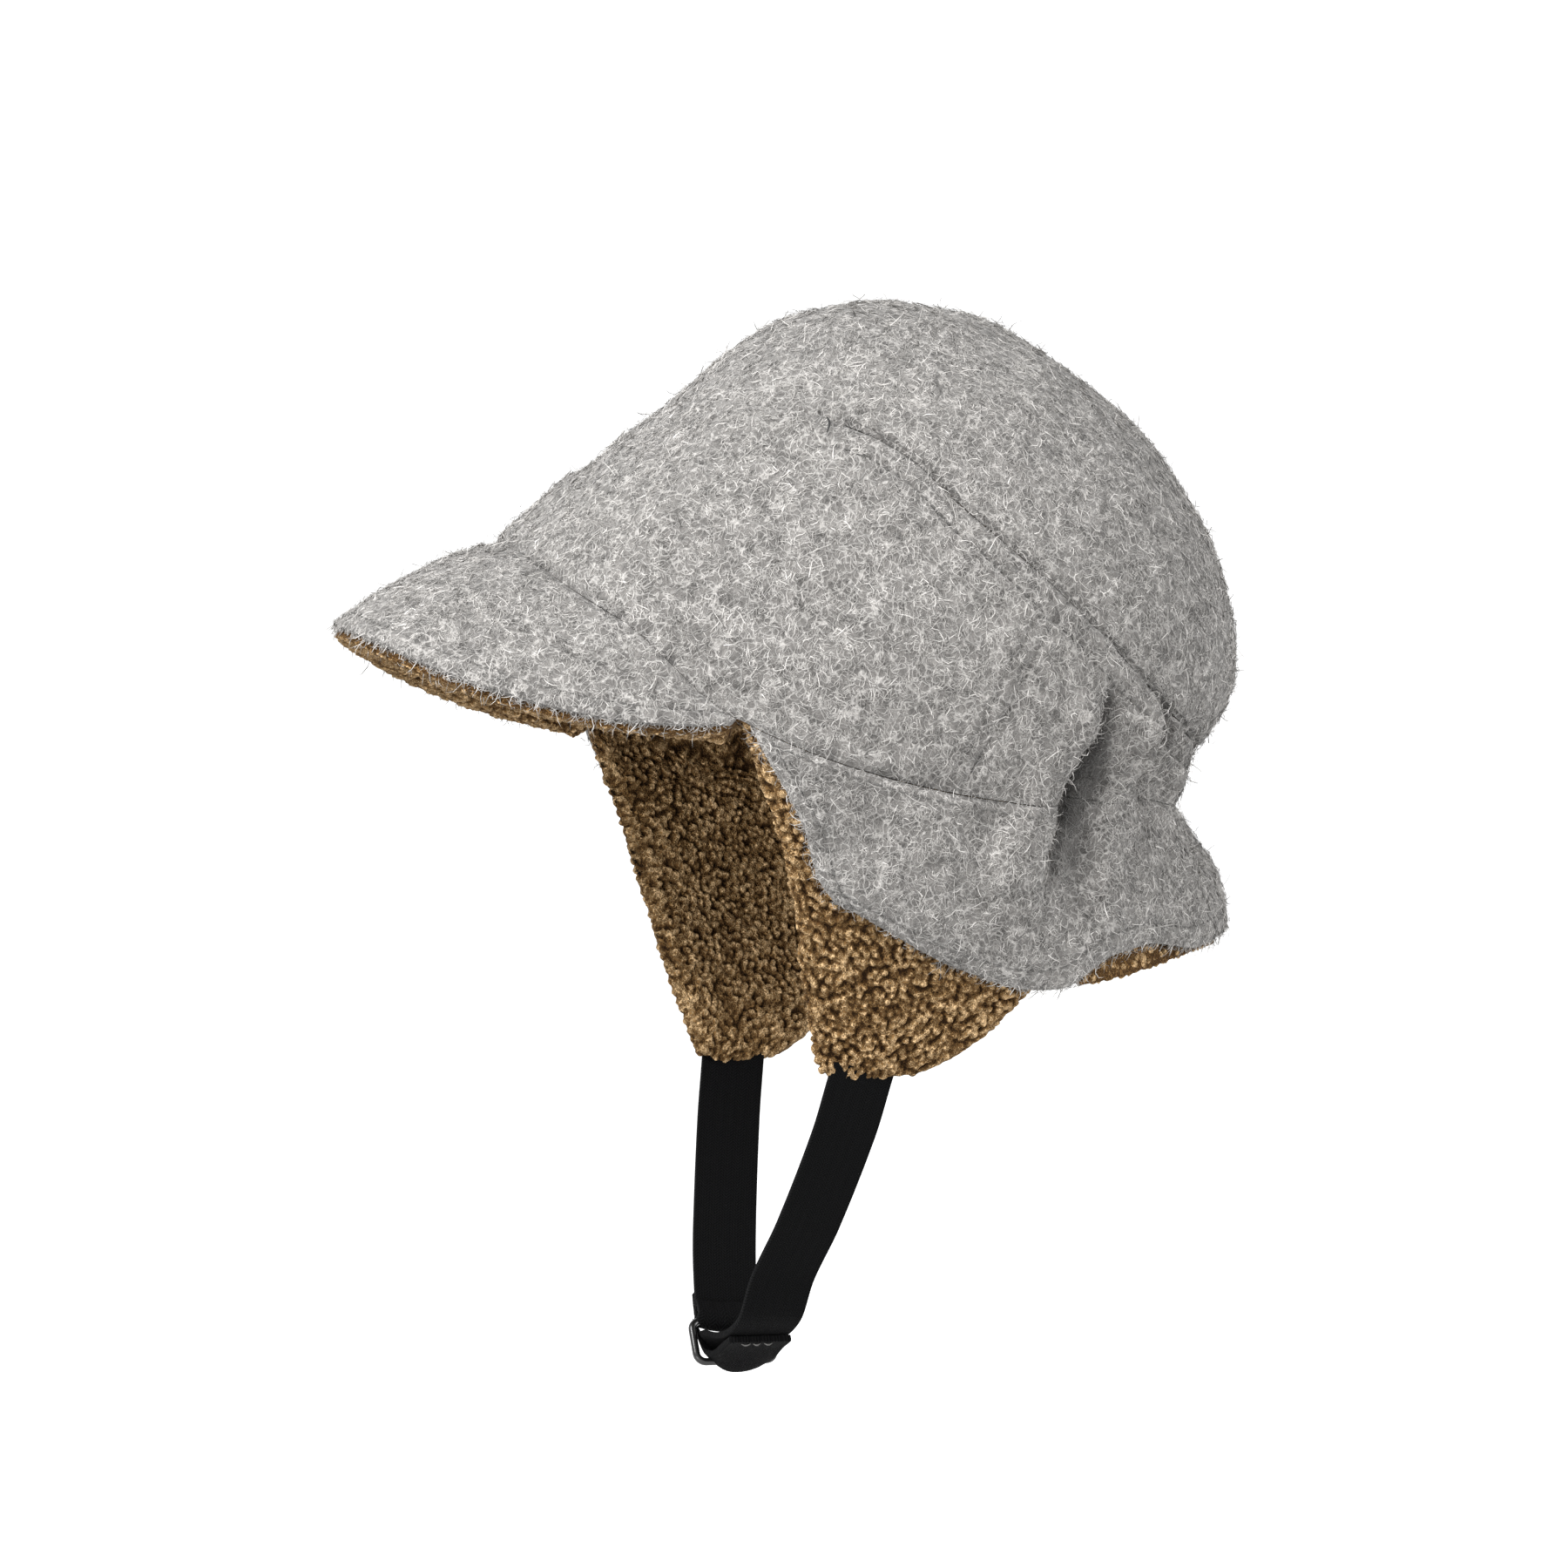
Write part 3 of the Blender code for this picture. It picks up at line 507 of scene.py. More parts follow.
def strandsGroup():
    # a mat of thin curly lines: places where smooth noise passes through its middle
    group, given, out = newGroup(
        "curlyStrands",
        (
            ("Vector", "NodeSocketVector", None),
            ("Scale", "NodeSocketFloat", 400.0),
            ("Width", "NodeSocketFloat", 0.04),
            ("Warp", "NodeSocketFloat", 0.001),
        ),
        (("Strands", "NodeSocketFloat"), ("Shade", "NodeSocketFloat")),
    )
    place, scale, width, warp = (given.outputs[label] for label in ("Vector", "Scale", "Width", "Warp"))
    bend = nodeOf(group, "TexNoise", {"Vector": place, "Scale": 260.0, "Detail": 1.0})
    middle = vectorOf(group, "SUBTRACT", {0: bend.outputs["Color"], 1: (0.5, 0.5, 0.5)})
    bent = vectorOf(group, "ADD", {0: place, 1: vectorOf(group, "SCALE", {0: middle, "Scale": warp})})
    total = None
    for shift in ((0.0, 0.0, 0.0), (0.31, 0.17, 0.55), (0.72, 0.83, 0.29)):
        moved = vectorOf(group, "ADD", {0: bent, 1: shift})
        noise = nodeOf(group, "TexNoise", {"Vector": moved, "Scale": scale, "Detail": 0.0}).outputs["Fac"]
        away = mathOf(group, "ABSOLUTE", mathOf(group, "SUBTRACT", noise, 0.5))
        values = {"Value": away, "From Min": 0.0, "From Max": width, "To Min": 1.0, "To Max": 0.0}
        line = nodeOf(group, "MapRange", values, interpolation_type="SMOOTHSTEP").outputs[0]
        total = line if total is None else mathOf(group, "MAXIMUM", total, line)
    patch = nodeOf(group, "TexNoise", {"Vector": place, "Scale": 150.0, "Detail": 2.0})
    group.links.new(total, out.inputs["Strands"])
    group.links.new(patch.outputs["Fac"], out.inputs["Shade"])
    return group


def newMaterial(name, roughness):
    material = bpy.data.materials.new(name)
    material.use_nodes = True
    tree = material.node_tree
    shader = tree.nodes["Principled BSDF"]
    shader.inputs["Roughness"].default_value = roughness
    return material, tree, shader


def bumped(tree, shader, height, distance, strength):
    bump = nodeOf(tree, "Bump", {"Height": height, "Distance": distance, "Strength": strength})
    tree.links.new(bump.outputs[0], shader.inputs["Normal"])


def roughened(tree, shader, value, low, high):
    rough = nodeOf(tree, "MapRange", {"Value": value, "To Min": low, "To Max": high})
    tree.links.new(rough.outputs[0], shader.inputs["Roughness"])


def strandsOf(tree, place, scale, width, warp):
    values = {"Vector": place, "Scale": scale, "Width": width, "Warp": warp}
    return nodeOf(tree, "Group", values, node_tree=strands).outputs["Strands"]


strands = strandsGroup()
woolLook = {
    "deep": (0.045, 0.042, 0.038, 1), "mid": (0.27, 0.256, 0.242, 1), "light": (0.58, 0.558, 0.533, 1),
}
hairLook = {"dark": (0.19, 0.181, 0.17), "mid": (0.455, 0.437, 0.416), "light": (0.85, 0.823, 0.79)}
# Fleece colours from the gaps between curls to the curl tops: the dark gap and low colours are painted shade,
# the light top colour is a painted highlight
fleeceLook = {
    "gap": (0.024, 0.01, 0.003),
    "low": (0.095, 0.046, 0.014),
    "mid": (0.29, 0.165, 0.062),
    "top": (0.88, 0.6, 0.32),
}
tapeLook = {
    "low": (0.0012, 0.0012, 0.0013, 1), "high": (0.007, 0.007, 0.0074, 1),
    "zigzag": 0.0016, "rib": 0.0009, "yarn": 0.0008,
}


def paintFoldShade(tree, color):
    # painted shade: the colour is darkened towards the deep grey inside the gathers, where shade falls in
    # them
    return mixOf(tree, mathOf(tree, "MULTIPLY", attributeOf(tree, "foldShade"), 0.9), color, woolLook["deep"])


def makeWoolMaterial():
    material, tree, shader = newMaterial("wool", 0.92)
    place = placeOf(tree)
    coarse = strandsOf(tree, place, 330.0, 0.045, 0.0022)
    fine = strandsOf(tree, place, 760.0, 0.06, 0.0012)
    mottle = noiseOf(tree, place, 190.0, 4.0, 0.65)
    spots = nodeOf(tree, "MapRange", {"Value": mottle, "From Min": 0.34, "From Max": 0.68})
    ground = mixOf(tree, spots.outputs[0], woolLook["deep"], woolLook["mid"])
    first = mixOf(tree, mathOf(tree, "MULTIPLY", fine, 0.55), ground, woolLook["mid"])
    color = mixOf(tree, mathOf(tree, "MULTIPLY", coarse, 0.8), first, woolLook["light"])
    tree.links.new(paintFoldShade(tree, color), shader.inputs["Base Color"])
    bumped(tree, shader, mathOf(tree, "ADD", coarse, mathOf(tree, "MULTIPLY", fine, 0.5)), 0.0005, 0.8)
    roughened(tree, shader, mottle, 0.82, 1.0)
    shader.inputs["Sheen Weight"].default_value = 0.25
    shader.inputs["Sheen Roughness"].default_value = 0.6
    return material


def makeHairMaterial():
    material, tree, shader = newMaterial("mohair", 0.6)
    clump = noiseOf(tree, placeOf(tree), 190.0, 4.0, 0.65)
    level = mathOf(tree, "ADD", attributeOf(tree, "tone"), mathOf(tree, "MULTIPLY_ADD", clump, 1.9, -1.0))
    color = rampOf(tree, level, ((0.0, hairLook["dark"]), (0.5, hairLook["mid"]), (1.0, hairLook["light"])))
    tree.links.new(paintFoldShade(tree, color), shader.inputs["Base Color"])
    return material


def makeFleeceMaterial():
    material, tree, shader = newMaterial("fleece", 0.85)
    place = placeOf(tree)
    curls = strandsOf(tree, place, 900.0, 0.09, 0.0011)
    patch = noiseOf(tree, place, 55.0, 2.0)
    # painted shade and highlight: curlShade is each point's share of its curl's height, so the ramp paints
    # the gaps dark and the curl tops light; the curly strands add lighter lines, partly the pile's own
    # strands and partly painted highlight
    level = mathOf(tree, "ADD", attributeOf(tree, "curlShade"), mathOf(tree, "MULTIPLY_ADD", curls, 0.42, -0.08))
    level = mathOf(tree, "ADD", level, mathOf(tree, "MULTIPLY_ADD", patch, 0.3, -0.18))
    stops = zip((0.0, 0.3, 0.68, 1.0), (fleeceLook[key] for key in ("gap", "low", "mid", "top")))
    tree.links.new(rampOf(tree, level, list(stops)), shader.inputs["Base Color"])
    bumped(tree, shader, curls, 0.0006, 1.0)
    shader.inputs["Specular IOR Level"].default_value = 0.12
    return material


def makeTapeMaterial():
    material, tree, shader = newMaterial("tape", 0.7)
    along, across = attributeOf(tree, "along"), attributeOf(tree, "across")
    slanted = mathOf(tree, "ADD", along, mathOf(tree, "PINGPONG", across, tapeLook["zigzag"]))
    rib = mathOf(tree, "SINE", mathOf(tree, "MULTIPLY", slanted, 2 * math.pi / tapeLook["rib"]))
    yarn = mathOf(tree, "SINE", mathOf(tree, "MULTIPLY", across, 2 * math.pi / tapeLook["yarn"]))
    weave = mathOf(tree, "MULTIPLY_ADD", rib, 0.35, mathOf(tree, "MULTIPLY_ADD", yarn, 0.15, 0.5))
    lint = noiseOf(tree, placeOf(tree), 420.0, 4.0)
    shade = mathOf(tree, "MULTIPLY", weave, mathOf(tree, "MULTIPLY_ADD", lint, 1.2, 0.3))
    tree.links.new(mixOf(tree, shade, tapeLook["low"], tapeLook["high"]), shader.inputs["Base Color"])
    bumped(tree, shader, shade, 0.0004, 0.8)
    roughened(tree, shader, lint, 0.75, 0.95)
    shader.inputs["Specular IOR Level"].default_value = 0.05
    return material


def makePlasticMaterial():
    material, tree, shader = newMaterial("glossPlastic", 0.2)
    rub = noiseOf(tree, placeOf(tree), 300.0, 5.0)
    roughened(tree, shader, rub, 0.1, 0.32)
    color = mixOf(tree, rub, (0.004, 0.004, 0.004, 1), (0.012, 0.012, 0.012, 1))
    tree.links.new(color, shader.inputs["Base Color"])
    return material


def makeThreadMaterial(name, low, high):
    material, tree, shader = newMaterial(name, 0.6)
    twist = noiseOf(tree, placeOf(tree), 2600.0, 2.0)
    tree.links.new(mixOf(tree, twist, low, high), shader.inputs["Base Color"])
    bumped(tree, shader, twist, 0.0001, 0.6)
    return material


woolMaterial = makeWoolMaterial()
hairMaterial = makeHairMaterial()
fleeceMaterial = makeFleeceMaterial()
tapeMaterial = makeTapeMaterial()
plasticMaterial = makePlasticMaterial()
greyThread = makeThreadMaterial("greyThread", (0.07, 0.068, 0.064, 1), (0.17, 0.165, 0.158, 1))
blackThread = makeThreadMaterial("blackThread", (0.004, 0.004, 0.004, 1), (0.03, 0.03, 0.03, 1))
print("materials made")


def surfaceGrid(point, normal, first, second):
    # points and normals of a surface over two grids of the same shape
    a, b = first.ravel(), second.ravel()
    return point(a, b).reshape(*first.shape, 3), normal(a, b).reshape(*first.shape, 3)


def crownGrid(turns, stations):
    return surfaceGrid(crownPoint, crownNormal, turns, stations)


def skirtGrid(turns, drops):
    return surfaceGrid(skirtPoint, skirtNormal, turns, drops)


def foldsOn(turns, base):
    heights = base[..., 2].ravel()
    total = foldHeight(turns.ravel(), heights) + foldHeight(turns.ravel(), heights, fineFolds)
    return total.reshape(turns.shape)


# how far the panels stop short of the double seam, in stations
seamMargin = 0.006


def seamStation(turn):
    return aroundCurve(domeSeam[0], domeSeam[1], turn)


def sideTurn(part):
    return throughPoints(sideSeam[0], sideSeam[1], part)


# Panels. An edge is a side with its depth and width, a channel has its distance from the side first.
sideEdges = (("left", 0.0014, 0.0011), ("right", 0.0014, 0.0011))
dome = {
    "name": "crownDomeCloth", "node": "crown_dome", "columns": 240, "rows": 72, "innerStep": 8, "seed": 11,
    "lump": 0.0004, "lumpSize": 0.026,
    "edges": (("foot", 0.0017, 0.0012),), "valley": 0.0007,
    "channels": (("foot", 0.0014, 0.0004, 0.0007),),
}
front = {
    "name": "crownFrontCloth", "node": "crown_front", "columns": 300, "rows": 66, "innerStep": 8, "seed": 21,
    "lump": 0.0005, "lumpSize": 0.024,
    "edges": (("top", 0.0017, 0.0012), ("foot", 0.0013, 0.0013), *sideEdges),
    "valley": 0.0006,
    "channels": (
        ("top", 0.0088, 0.0012, 0.0009), ("left", 0.0048, 0.0014, 0.0009), ("right", 0.0048, 0.0014, 0.0009),
    ),
}
nape = {
    "name": "napeBandCloth", "node": "nape_band", "columns": 250, "rows": 40, "innerStep": 6, "seed": 31,
    "lump": 0.0005, "lumpSize": 0.014,
    "edges": (("top", 0.0017, 0.0012), ("foot", 0.001, 0.0014), *sideEdges),
    "valley": 0.0005,
    "channels": (("top", 0.0086, 0.001, 0.0009),),
}


def seamFade(turns):
    # the double seam is plain to see from the side back, and nearly lost in the nap further forward
    return 0.22 + 0.78 * smoothStep(50.0, 70.0, foldedTurn(turns))


def brimFade(turns):
    # the curtain's seam is plain to see at the side and sinks among the gathers
    return 1.0 - 0.75 * smoothStep(94.0, 106.0, foldedTurn(turns))


def buildDome():
    parts = spread(dome["rows"], 0.35)
    turns = np.linspace(0.0, 360.0, dome["columns"] + 1)[:-1]
    turnGrid, partGrid = np.meshgrid(turns, parts)
    seam = seamStation(turns)[None, :]
    base, normal = crownGrid(turnGrid, partGrid * (seam - seamMargin))
    fades = {"foot": seamFade(turnGrid)}
    return makePanel(dome, base, normal, foldsOn(turnGrid, base), fades, wraps=True, capped=True)


def bandGrid(panel, firstTurn, lastTurn):
    parts = spread(panel["rows"], 0.4)
    shareGrid, partGrid = np.meshgrid(spread(panel["columns"], 0.2), parts)
    first, last = firstTurn(parts)[:, None], lastTurn(parts)[:, None]
    turnGrid = first + (last - first) * shareGrid
    top = seamStation(turnGrid.ravel()).reshape(turnGrid.shape)
    stations = top + seamMargin + (hat["edge"] - top - 1.5 * seamMargin) * partGrid
    base, normal = crownGrid(turnGrid, stations)
    sides = np.full(turnGrid.shape, 0.8)
    fades = {"top": seamFade(turnGrid), "foot": brimFade(turnGrid), "left": sides, "right": sides}
    return makePanel(panel, base, normal, foldsOn(turnGrid, base), fades)


peak = {
    "name": "peakCloth", "node": "peak", "columns": 150, "rows": 62, "innerStep": 8, "seed": 41,
    "lump": 0.0004, "lumpSize": 0.024,
    "edges": (("top", 0.0014, 0.0012), ("foot", 0.0007, 0.0012)),
    "channels": (("foot", 0.0052, 0.00035, 0.0008), ("top", 0.003, 0.0003, 0.0008)),
}


def peakPoint(share, part):
    turn = peakForm["templeTurn"] * share
    edge = np.full_like(turn, hat["edge"])
    seam = crownPoint(turn, edge)
    temple = crownPoint(np.array([peakForm["templeTurn"]]), edge[:1])[0]
    angle = share * math.pi / 2
    lift = np.cos(angle) ** 2
    rim = np.stack(
        [
            temple[0] * np.sin(angle),
            temple[1] - peakForm["reach"] * np.cos(angle),
            temple[2] + (peakForm["tipHeight"] - temple[2]) * lift + peakTwist(turn),
        ],
        axis=-1,
    )
    arch = peakForm["arch"] * 4.0 * part * (1.0 - part) * np.cos(angle)
    point = seam * (1.0 - part[:, None]) + rim * part[:, None]
    point[:, 2] += arch
    return point


def peakNormal(share, part):
    own = normalOf(peakPoint, share, np.maximum(part, 0.1), 0.01, 0.05)
    edge = crownNormal(peakForm["templeTurn"] * share, np.full_like(share, hat["edge"]))
    blend = smoothStep(0.0, 0.5, part)[:, None]
    return unit(edge * (1.0 - blend) + own * blend)


def buildPeakCloth():
    shares = np.linspace(-peakForm["end"], peakForm["end"], peak["columns"] + 1)
    shareGrid, partGrid = np.meshgrid(shares, 0.004 + 0.996 * spread(peak["rows"], 0.4))
    base, normal = surfaceGrid(peakPoint, peakNormal, shareGrid, partGrid)
    return makePanel(peak, base, normal, np.zeros(shareGrid.shape), {})


curtain = {
    "name": "neckCurtainCloth", "node": "neck_curtain", "columns": 320, "rows": 52, "innerStep": 7,
    "seed": 51,
    "lump": 0.0006, "lumpSize": 0.018,
    "edges": (
        ("top", 0.0014, 0.0013), ("foot", 0.0009, 0.0012), ("left", 0.001, 0.0012), ("right", 0.001, 0.0012),
    ),
    "channels": (
        ("foot", 0.0062, 0.0006, 0.0009), ("left", 0.0058, 0.0006, 0.0009), ("right", 0.0058, 0.0006, 0.0009),
        ("top", 0.0092, 0.0004, 0.0008),
    ),
}
curtainHem = (
    (47.0, 61.0, 71.0, 85.0, 103.0, 117.0, 140.0, 160.0, 180.0),
    (0.61, 0.66, 0.764, 0.905, 1.0, 0.965, 0.865, 0.8, 0.78),
)
curtainFront = ((0.0, 0.2, 0.5, 0.85, 1.0), (48.2, 51.2, 55.8, 58.2, 61.5))
curtainDrop = 0.072


def hemDrop(turn):
    return edgeOf(turn)[1] + curtainDrop * aroundCurve(curtainHem[0], curtainHem[1], turn)


def hemLift(turn):
    # low on the left the hem draws up a little and shows the fleece across the neck
    return 0.0065 * smoothStep(109.0, 121.0, turn) * (1.0 - smoothStep(127.0, 146.0, turn))


def buildCurtain():
    parts = spread(curtain["rows"], 0.4)
    shareGrid, partGrid = np.meshgrid(spread(curtain["columns"], 0.25), parts)
    first = throughPoints(curtainFront[0], curtainFront[1], parts)[:, None]
    turnGrid = first + (360.0 - 2 * first) * shareGrid
    hem = hemDrop(turnGrid.ravel()).reshape(turnGrid.shape) - hemLift(turnGrid)
    base, normal = skirtGrid(turnGrid, hem * (0.004 + 0.996 * partGrid))
    return makePanel(curtain, base, normal, foldsOn(turnGrid, base), {"top": brimFade(turnGrid)})


surfaces = {
    "dome": buildDome(),
    "front": bandGrid(front, lambda part: -sideTurn(part), sideTurn),
    "nape": bandGrid(nape, sideTurn, lambda part: 360.0 - sideTurn(part)),
    "peak": buildPeakCloth(),
    "curtain": buildCurtain(),
}
print("wool panels built")


def rawMesh(name, points, corners, sizes):
    # a mesh from arrays, which is quicker for very many faces
    mesh = bpy.data.meshes.new(name)
    mesh.vertices.add(len(points))
    mesh.vertices.foreach_set("co", np.ascontiguousarray(points, dtype=np.float32).ravel())
    mesh.loops.add(len(corners))
    mesh.loops.foreach_set("vertex_index", np.ascontiguousarray(corners, dtype=np.int32))
    mesh.polygons.add(len(sizes))
    starts = np.concatenate([[0], np.cumsum(sizes)[:-1]])
    mesh.polygons.foreach_set("loop_start", np.ascontiguousarray(starts, dtype=np.int32))
    mesh.polygons.foreach_set("loop_total", np.ascontiguousarray(sizes, dtype=np.int32))
    mesh.update(calc_edges=True)
    return rideObject(name, mesh)


# Loose mohair that lies over the cloth. density is fibres for each square metre.
mohair = {
    "density": 715000, "length": (0.003, 0.0084), "width": 0.00025, "curl": 4.2, "lift": 0.0006,
    "leastLift": 0.00015, "segments": 3, "scatter": 0.32, "bareSeam": (0.0005, 0.0027), "stray": 0.06,
    "strayLift": 3.2, "roll": 1.1, "taper": 0.45, "sink": 0.0002, "wander": 0.25, "toneSpread": 0.26,
}


def fringeStarts(surface, across, rng):
    # roots and ways of the fibres that hang over the free edges
    grid = surface["outer"]
    starts, normals, ways = [], [], []
    for side, count in surface["fringes"]:
        line, inner, facing = {
            "foot": (grid[-1], grid[-3], across[-1]),
            "left": (grid[:, 0], grid[:, 2], across[:, 0]),
            "right": (grid[:, -1], grid[:, -3], across[:, -1]),
        }[side]
        at = rng.uniform(0, len(line) - 1.001, count)
        low = at.astype(int)
        share = (at - low)[:, None]
        place = line[low] * (1 - share) + line[low + 1] * share
        out = unit(place - inner[low] * (1 - share) - inner[low + 1] * share)
        normal = unit(facing[low])
        under = rng.uniform(0.0, 0.9, count)[:, None] * hat["wool"]
        starts.append(place - out * 0.0004 - normal * under)
        drape = rng.uniform(0.0, 1.3, count)[:, None]
        ways.append(unit(out * np.cos(drape) - normal * np.sin(drape)))
        normals.append(unit(normal * np.cos(drape) + out * np.sin(drape)))
    return np.concatenate(starts), np.concatenate(normals), np.concatenate(ways)


def makeFibres(name, surface, seed):
    rng = np.random.default_rng(seed)
    grid = surface["outer"]
    distances, fades = surface["distances"], surface["fades"]
    reach = [distances[side] / fades.get(side, 1.0) for side in surface["seams"]]
    for side, away in surface["stitched"]:
        reach.append(np.abs(distances[side] - away) * 1.5 / fades.get(side, 1.0))
    near = np.min(reach, axis=0)
    foldShade = surface["foldShade"]
    if surface["wraps"]:
        grid, near, foldShade = (np.concatenate([part, part[:, :1]], axis=1) for part in (grid, near, foldShade))
    a, b, c, d = grid[:-1, :-1], grid[1:, :-1], grid[:-1, 1:], grid[1:, 1:]
    across = np.cross(b - a, c - a) + np.cross(d - c, d - b)
    area = np.linalg.norm(across, axis=2) / 2
    weight = area * (0.04 + 0.96 * smoothStep(*mohair["bareSeam"], near[:-1, :-1]))
    weight *= 1.0 - 0.5 * foldShade[:-1, :-1]
    count = int(area.sum() * mohair["density"])
    pick = rng.choice(area.size, size=count, p=(weight / weight.sum()).ravel())
    u, v = rng.random(count)[:, None], rng.random(count)[:, None]
    corner = [part.reshape(-1, 3)[pick] for part in (a, b, c, d)]
    start = (corner[0] * (1 - u) + corner[1] * u) * (1 - v) + (corner[2] * (1 - u) + corner[3] * u) * v
    normal = unit(across.reshape(-1, 3)[pick])
    first = unit(corner[1] - corner[0] + 1e-9)
    angle = rng.uniform(0, 2 * math.pi, count)
    foldShade = foldShade[:-1, :-1].ravel()[pick]
    if surface["fringes"]:
        rimStart, rimNormal, rimWay = fringeStarts(surface, across, rng)
        pairs = ((start, rimStart), (normal, rimNormal), (first, rimWay))
        start, normal, first = (np.concatenate(pair) for pair in pairs)
        angle = np.concatenate([angle, rng.normal(0.0, 0.9, len(rimStart))])
        foldShade = np.concatenate([foldShade, np.zeros(len(rimStart))])
        count += len(rimStart)
    second = np.cross(normal, first)
    segments = mohair["segments"]
    length = rng.uniform(*mohair["length"], count) * rng.uniform(0.6, 1.0, count)
    curl = rng.normal(0.0, mohair["curl"], count)
    lift = np.abs(rng.normal(0.0, mohair["lift"], count)) + mohair["leastLift"]
    lift[rng.random(count) < mohair["stray"]] *= mohair["strayLift"]
    roll = rng.uniform(-mohair["roll"], mohair["roll"], count)
    width = mohair["width"] * rng.uniform(0.65, 1.25, count)
    place = start - normal * mohair["sink"]
    rows, facing = [], []
    for step in range(segments + 1):
        way = np.cos(angle)[:, None] * first + np.sin(angle)[:, None] * second
        side = np.cross(normal, way)
        side = side * np.cos(roll)[:, None] + normal * np.sin(roll)[:, None]
        share = step / segments
        half = width * (1.0 - mohair["taper"] * share) / 2
        lit = unit(normal + mohair["scatter"] * rng.normal(size=normal.shape))
        rows += [place - side * half[:, None], place + side * half[:, None]] if step < segments else [place]
        facing += [lit, lit] if step < segments else [lit]
        rising = lift * (1.0 - share * rng.uniform(0.2, 1.6, count)) * 1.3 / segments
        place = place + way * (length / segments)[:, None] + normal * rising[:, None]
        angle = angle + curl / segments + rng.normal(0.0, mohair["wander"], count)
    points = np.stack(rows, axis=1)
    each = points.shape[1]
    base = np.arange(count)[:, None] * each
    ring = np.array([0, 2, 3, 1])
    tip = np.array([each - 3, each - 1, each - 2])
    corners = [base + 2 * k + ring for k in range(segments - 1)] + [base + tip]
    sizes = np.tile([4] * (segments - 1) + [3], count)
    obj = rawMesh(name, points.reshape(-1, 3), np.concatenate(corners, axis=1).ravel(), sizes)
    shade = np.clip(rng.normal(0.5, mohair["toneSpread"], count), 0.0, 1.0)
    addAttribute(obj, "tone", np.repeat(shade, each))
    # the fibres take the painted shade of the gathers they lie in
    addAttribute(obj, "foldShade", np.repeat(foldShade, each))
    obj.data.normals_split_custom_set_from_vertices(np.stack(facing, axis=1).reshape(-1, 3).tolist())
    finishPiece(obj, hairMaterial)


allSides = ("top", "foot", "left", "right")
# panel, name, sides with a bare seam, bare topstitched lines, and fibres over the free edges
mohairRows = (
    ("dome", "crownDomeMohair", ("foot",), (), ()),
    ("front", "crownFrontMohair", allSides, (("top", 0.0088), ("left", 0.0048), ("right", 0.0048)), ()),
    ("nape", "napeBandMohair", allSides, (("top", 0.0086),), ()),
    ("peak", "peakMohair", ("top",), (("foot", 0.0052),), (("foot", 1500),)),
    (
        "curtain", "neckCurtainMohair", ("top",), (("foot", 0.0062), ("left", 0.0058), ("right", 0.0058)),
        (("foot", 1900), ("left", 380), ("right", 380)),
    ),
)
for index, (key, name, seams, stitched, fringes) in enumerate(mohairRows):
    makeFibres(name, surfaces[key] | {"seams": seams, "stitched": stitched, "fringes": fringes}, 100 + index)
print("mohair laid")


def lineOn(surface, side, away, least=0.5):
    # points of the cloth's face this far in from a border, where that border's seam still shows
    grid, distances = surface["outer"], surface["distances"][side]
    if side in ("left", "right"):
        grid, distances = grid.transpose(1, 0, 2), distances.T
    if side in ("foot", "right"):
        grid, distances = grid[::-1], distances[::-1]
    fade = surface["fades"].get(side, np.ones(surface["outer"].shape[:2]))
    columns = range(grid.shape[1])
    points = [[np.interp(away, distances[:, c], grid[:, c, axis]) for axis in range(3)] for c in columns]
    keep = [fade[0, c] >= least if side in ("top", "foot") else True for c in columns]
    points = np.array(points)
    if surface["wraps"]:
        start = int(np.argmin(keep))
        points, keep = np.roll(points, -start, axis=0), list(np.roll(keep, -start))
    lines = [[]]
    for point, kept in zip(points, keep):
        if kept:
            lines[-1].append(point)
        else:
            lines.append([])
    return [np.array(line) for line in lines if len(line) > 3]


thread = {"length": 0.0025, "gap": 0.001, "radius": 0.00026, "sink": 0.0003, "rings": 4, "sides": 5}


def makeStitches(name, lines, seed, material, rise=0.0002):
    rng = np.random.default_rng(seed)
    points, faces = [], []
    for line, surfaceWay in lines:
        steps = np.linalg.norm(np.diff(line, axis=0), axis=1)
        places = np.concatenate([[0.0], np.cumsum(steps)])
        at = rng.uniform(0.001, 0.003)
        while at + thread["length"] < places[-1] - 0.001:
            long = thread["length"] * rng.uniform(0.85, 1.1)
            spots = at + long * np.linspace(0.0, 1.0, thread["rings"])
            path = np.stack([np.interp(spots, places, line[:, axis]) for axis in range(3)], axis=1)
            pick = min(int(np.searchsorted(places, at)), len(line) - 1)
            up = surfaceWay[pick]
            arch = np.sin(np.linspace(0.0, math.pi, thread["rings"]))
            path = path + up * (rise - thread["sink"] + thread["sink"] * 1.6 * arch)[:, None]
            ahead = unit(path[-1] - path[0])
            wide = unit(np.cross(ahead, up))
            faces += tubeFaces(len(points), thread["rings"], thread["sides"])
            for place, swell in zip(path, arch):
                points += ringAt(place, wide, up, thread["radius"] * (0.55 + 0.45 * swell), thread["sides"])
            at += long + thread["gap"] * rng.uniform(0.8, 1.3)
    finishPiece(makeMesh(name, points, faces), material)


def outwardOf(line):
    # rough direction out of the hat at every point of a line
    return unit(line * np.array([1.0, 1.0, 0.6]))


def clothLines(rows):
    lines = []
    for key, side, away in rows:
        lines += [(line, outwardOf(line)) for line in lineOn(surfaces[key], side, away)]
    return lines


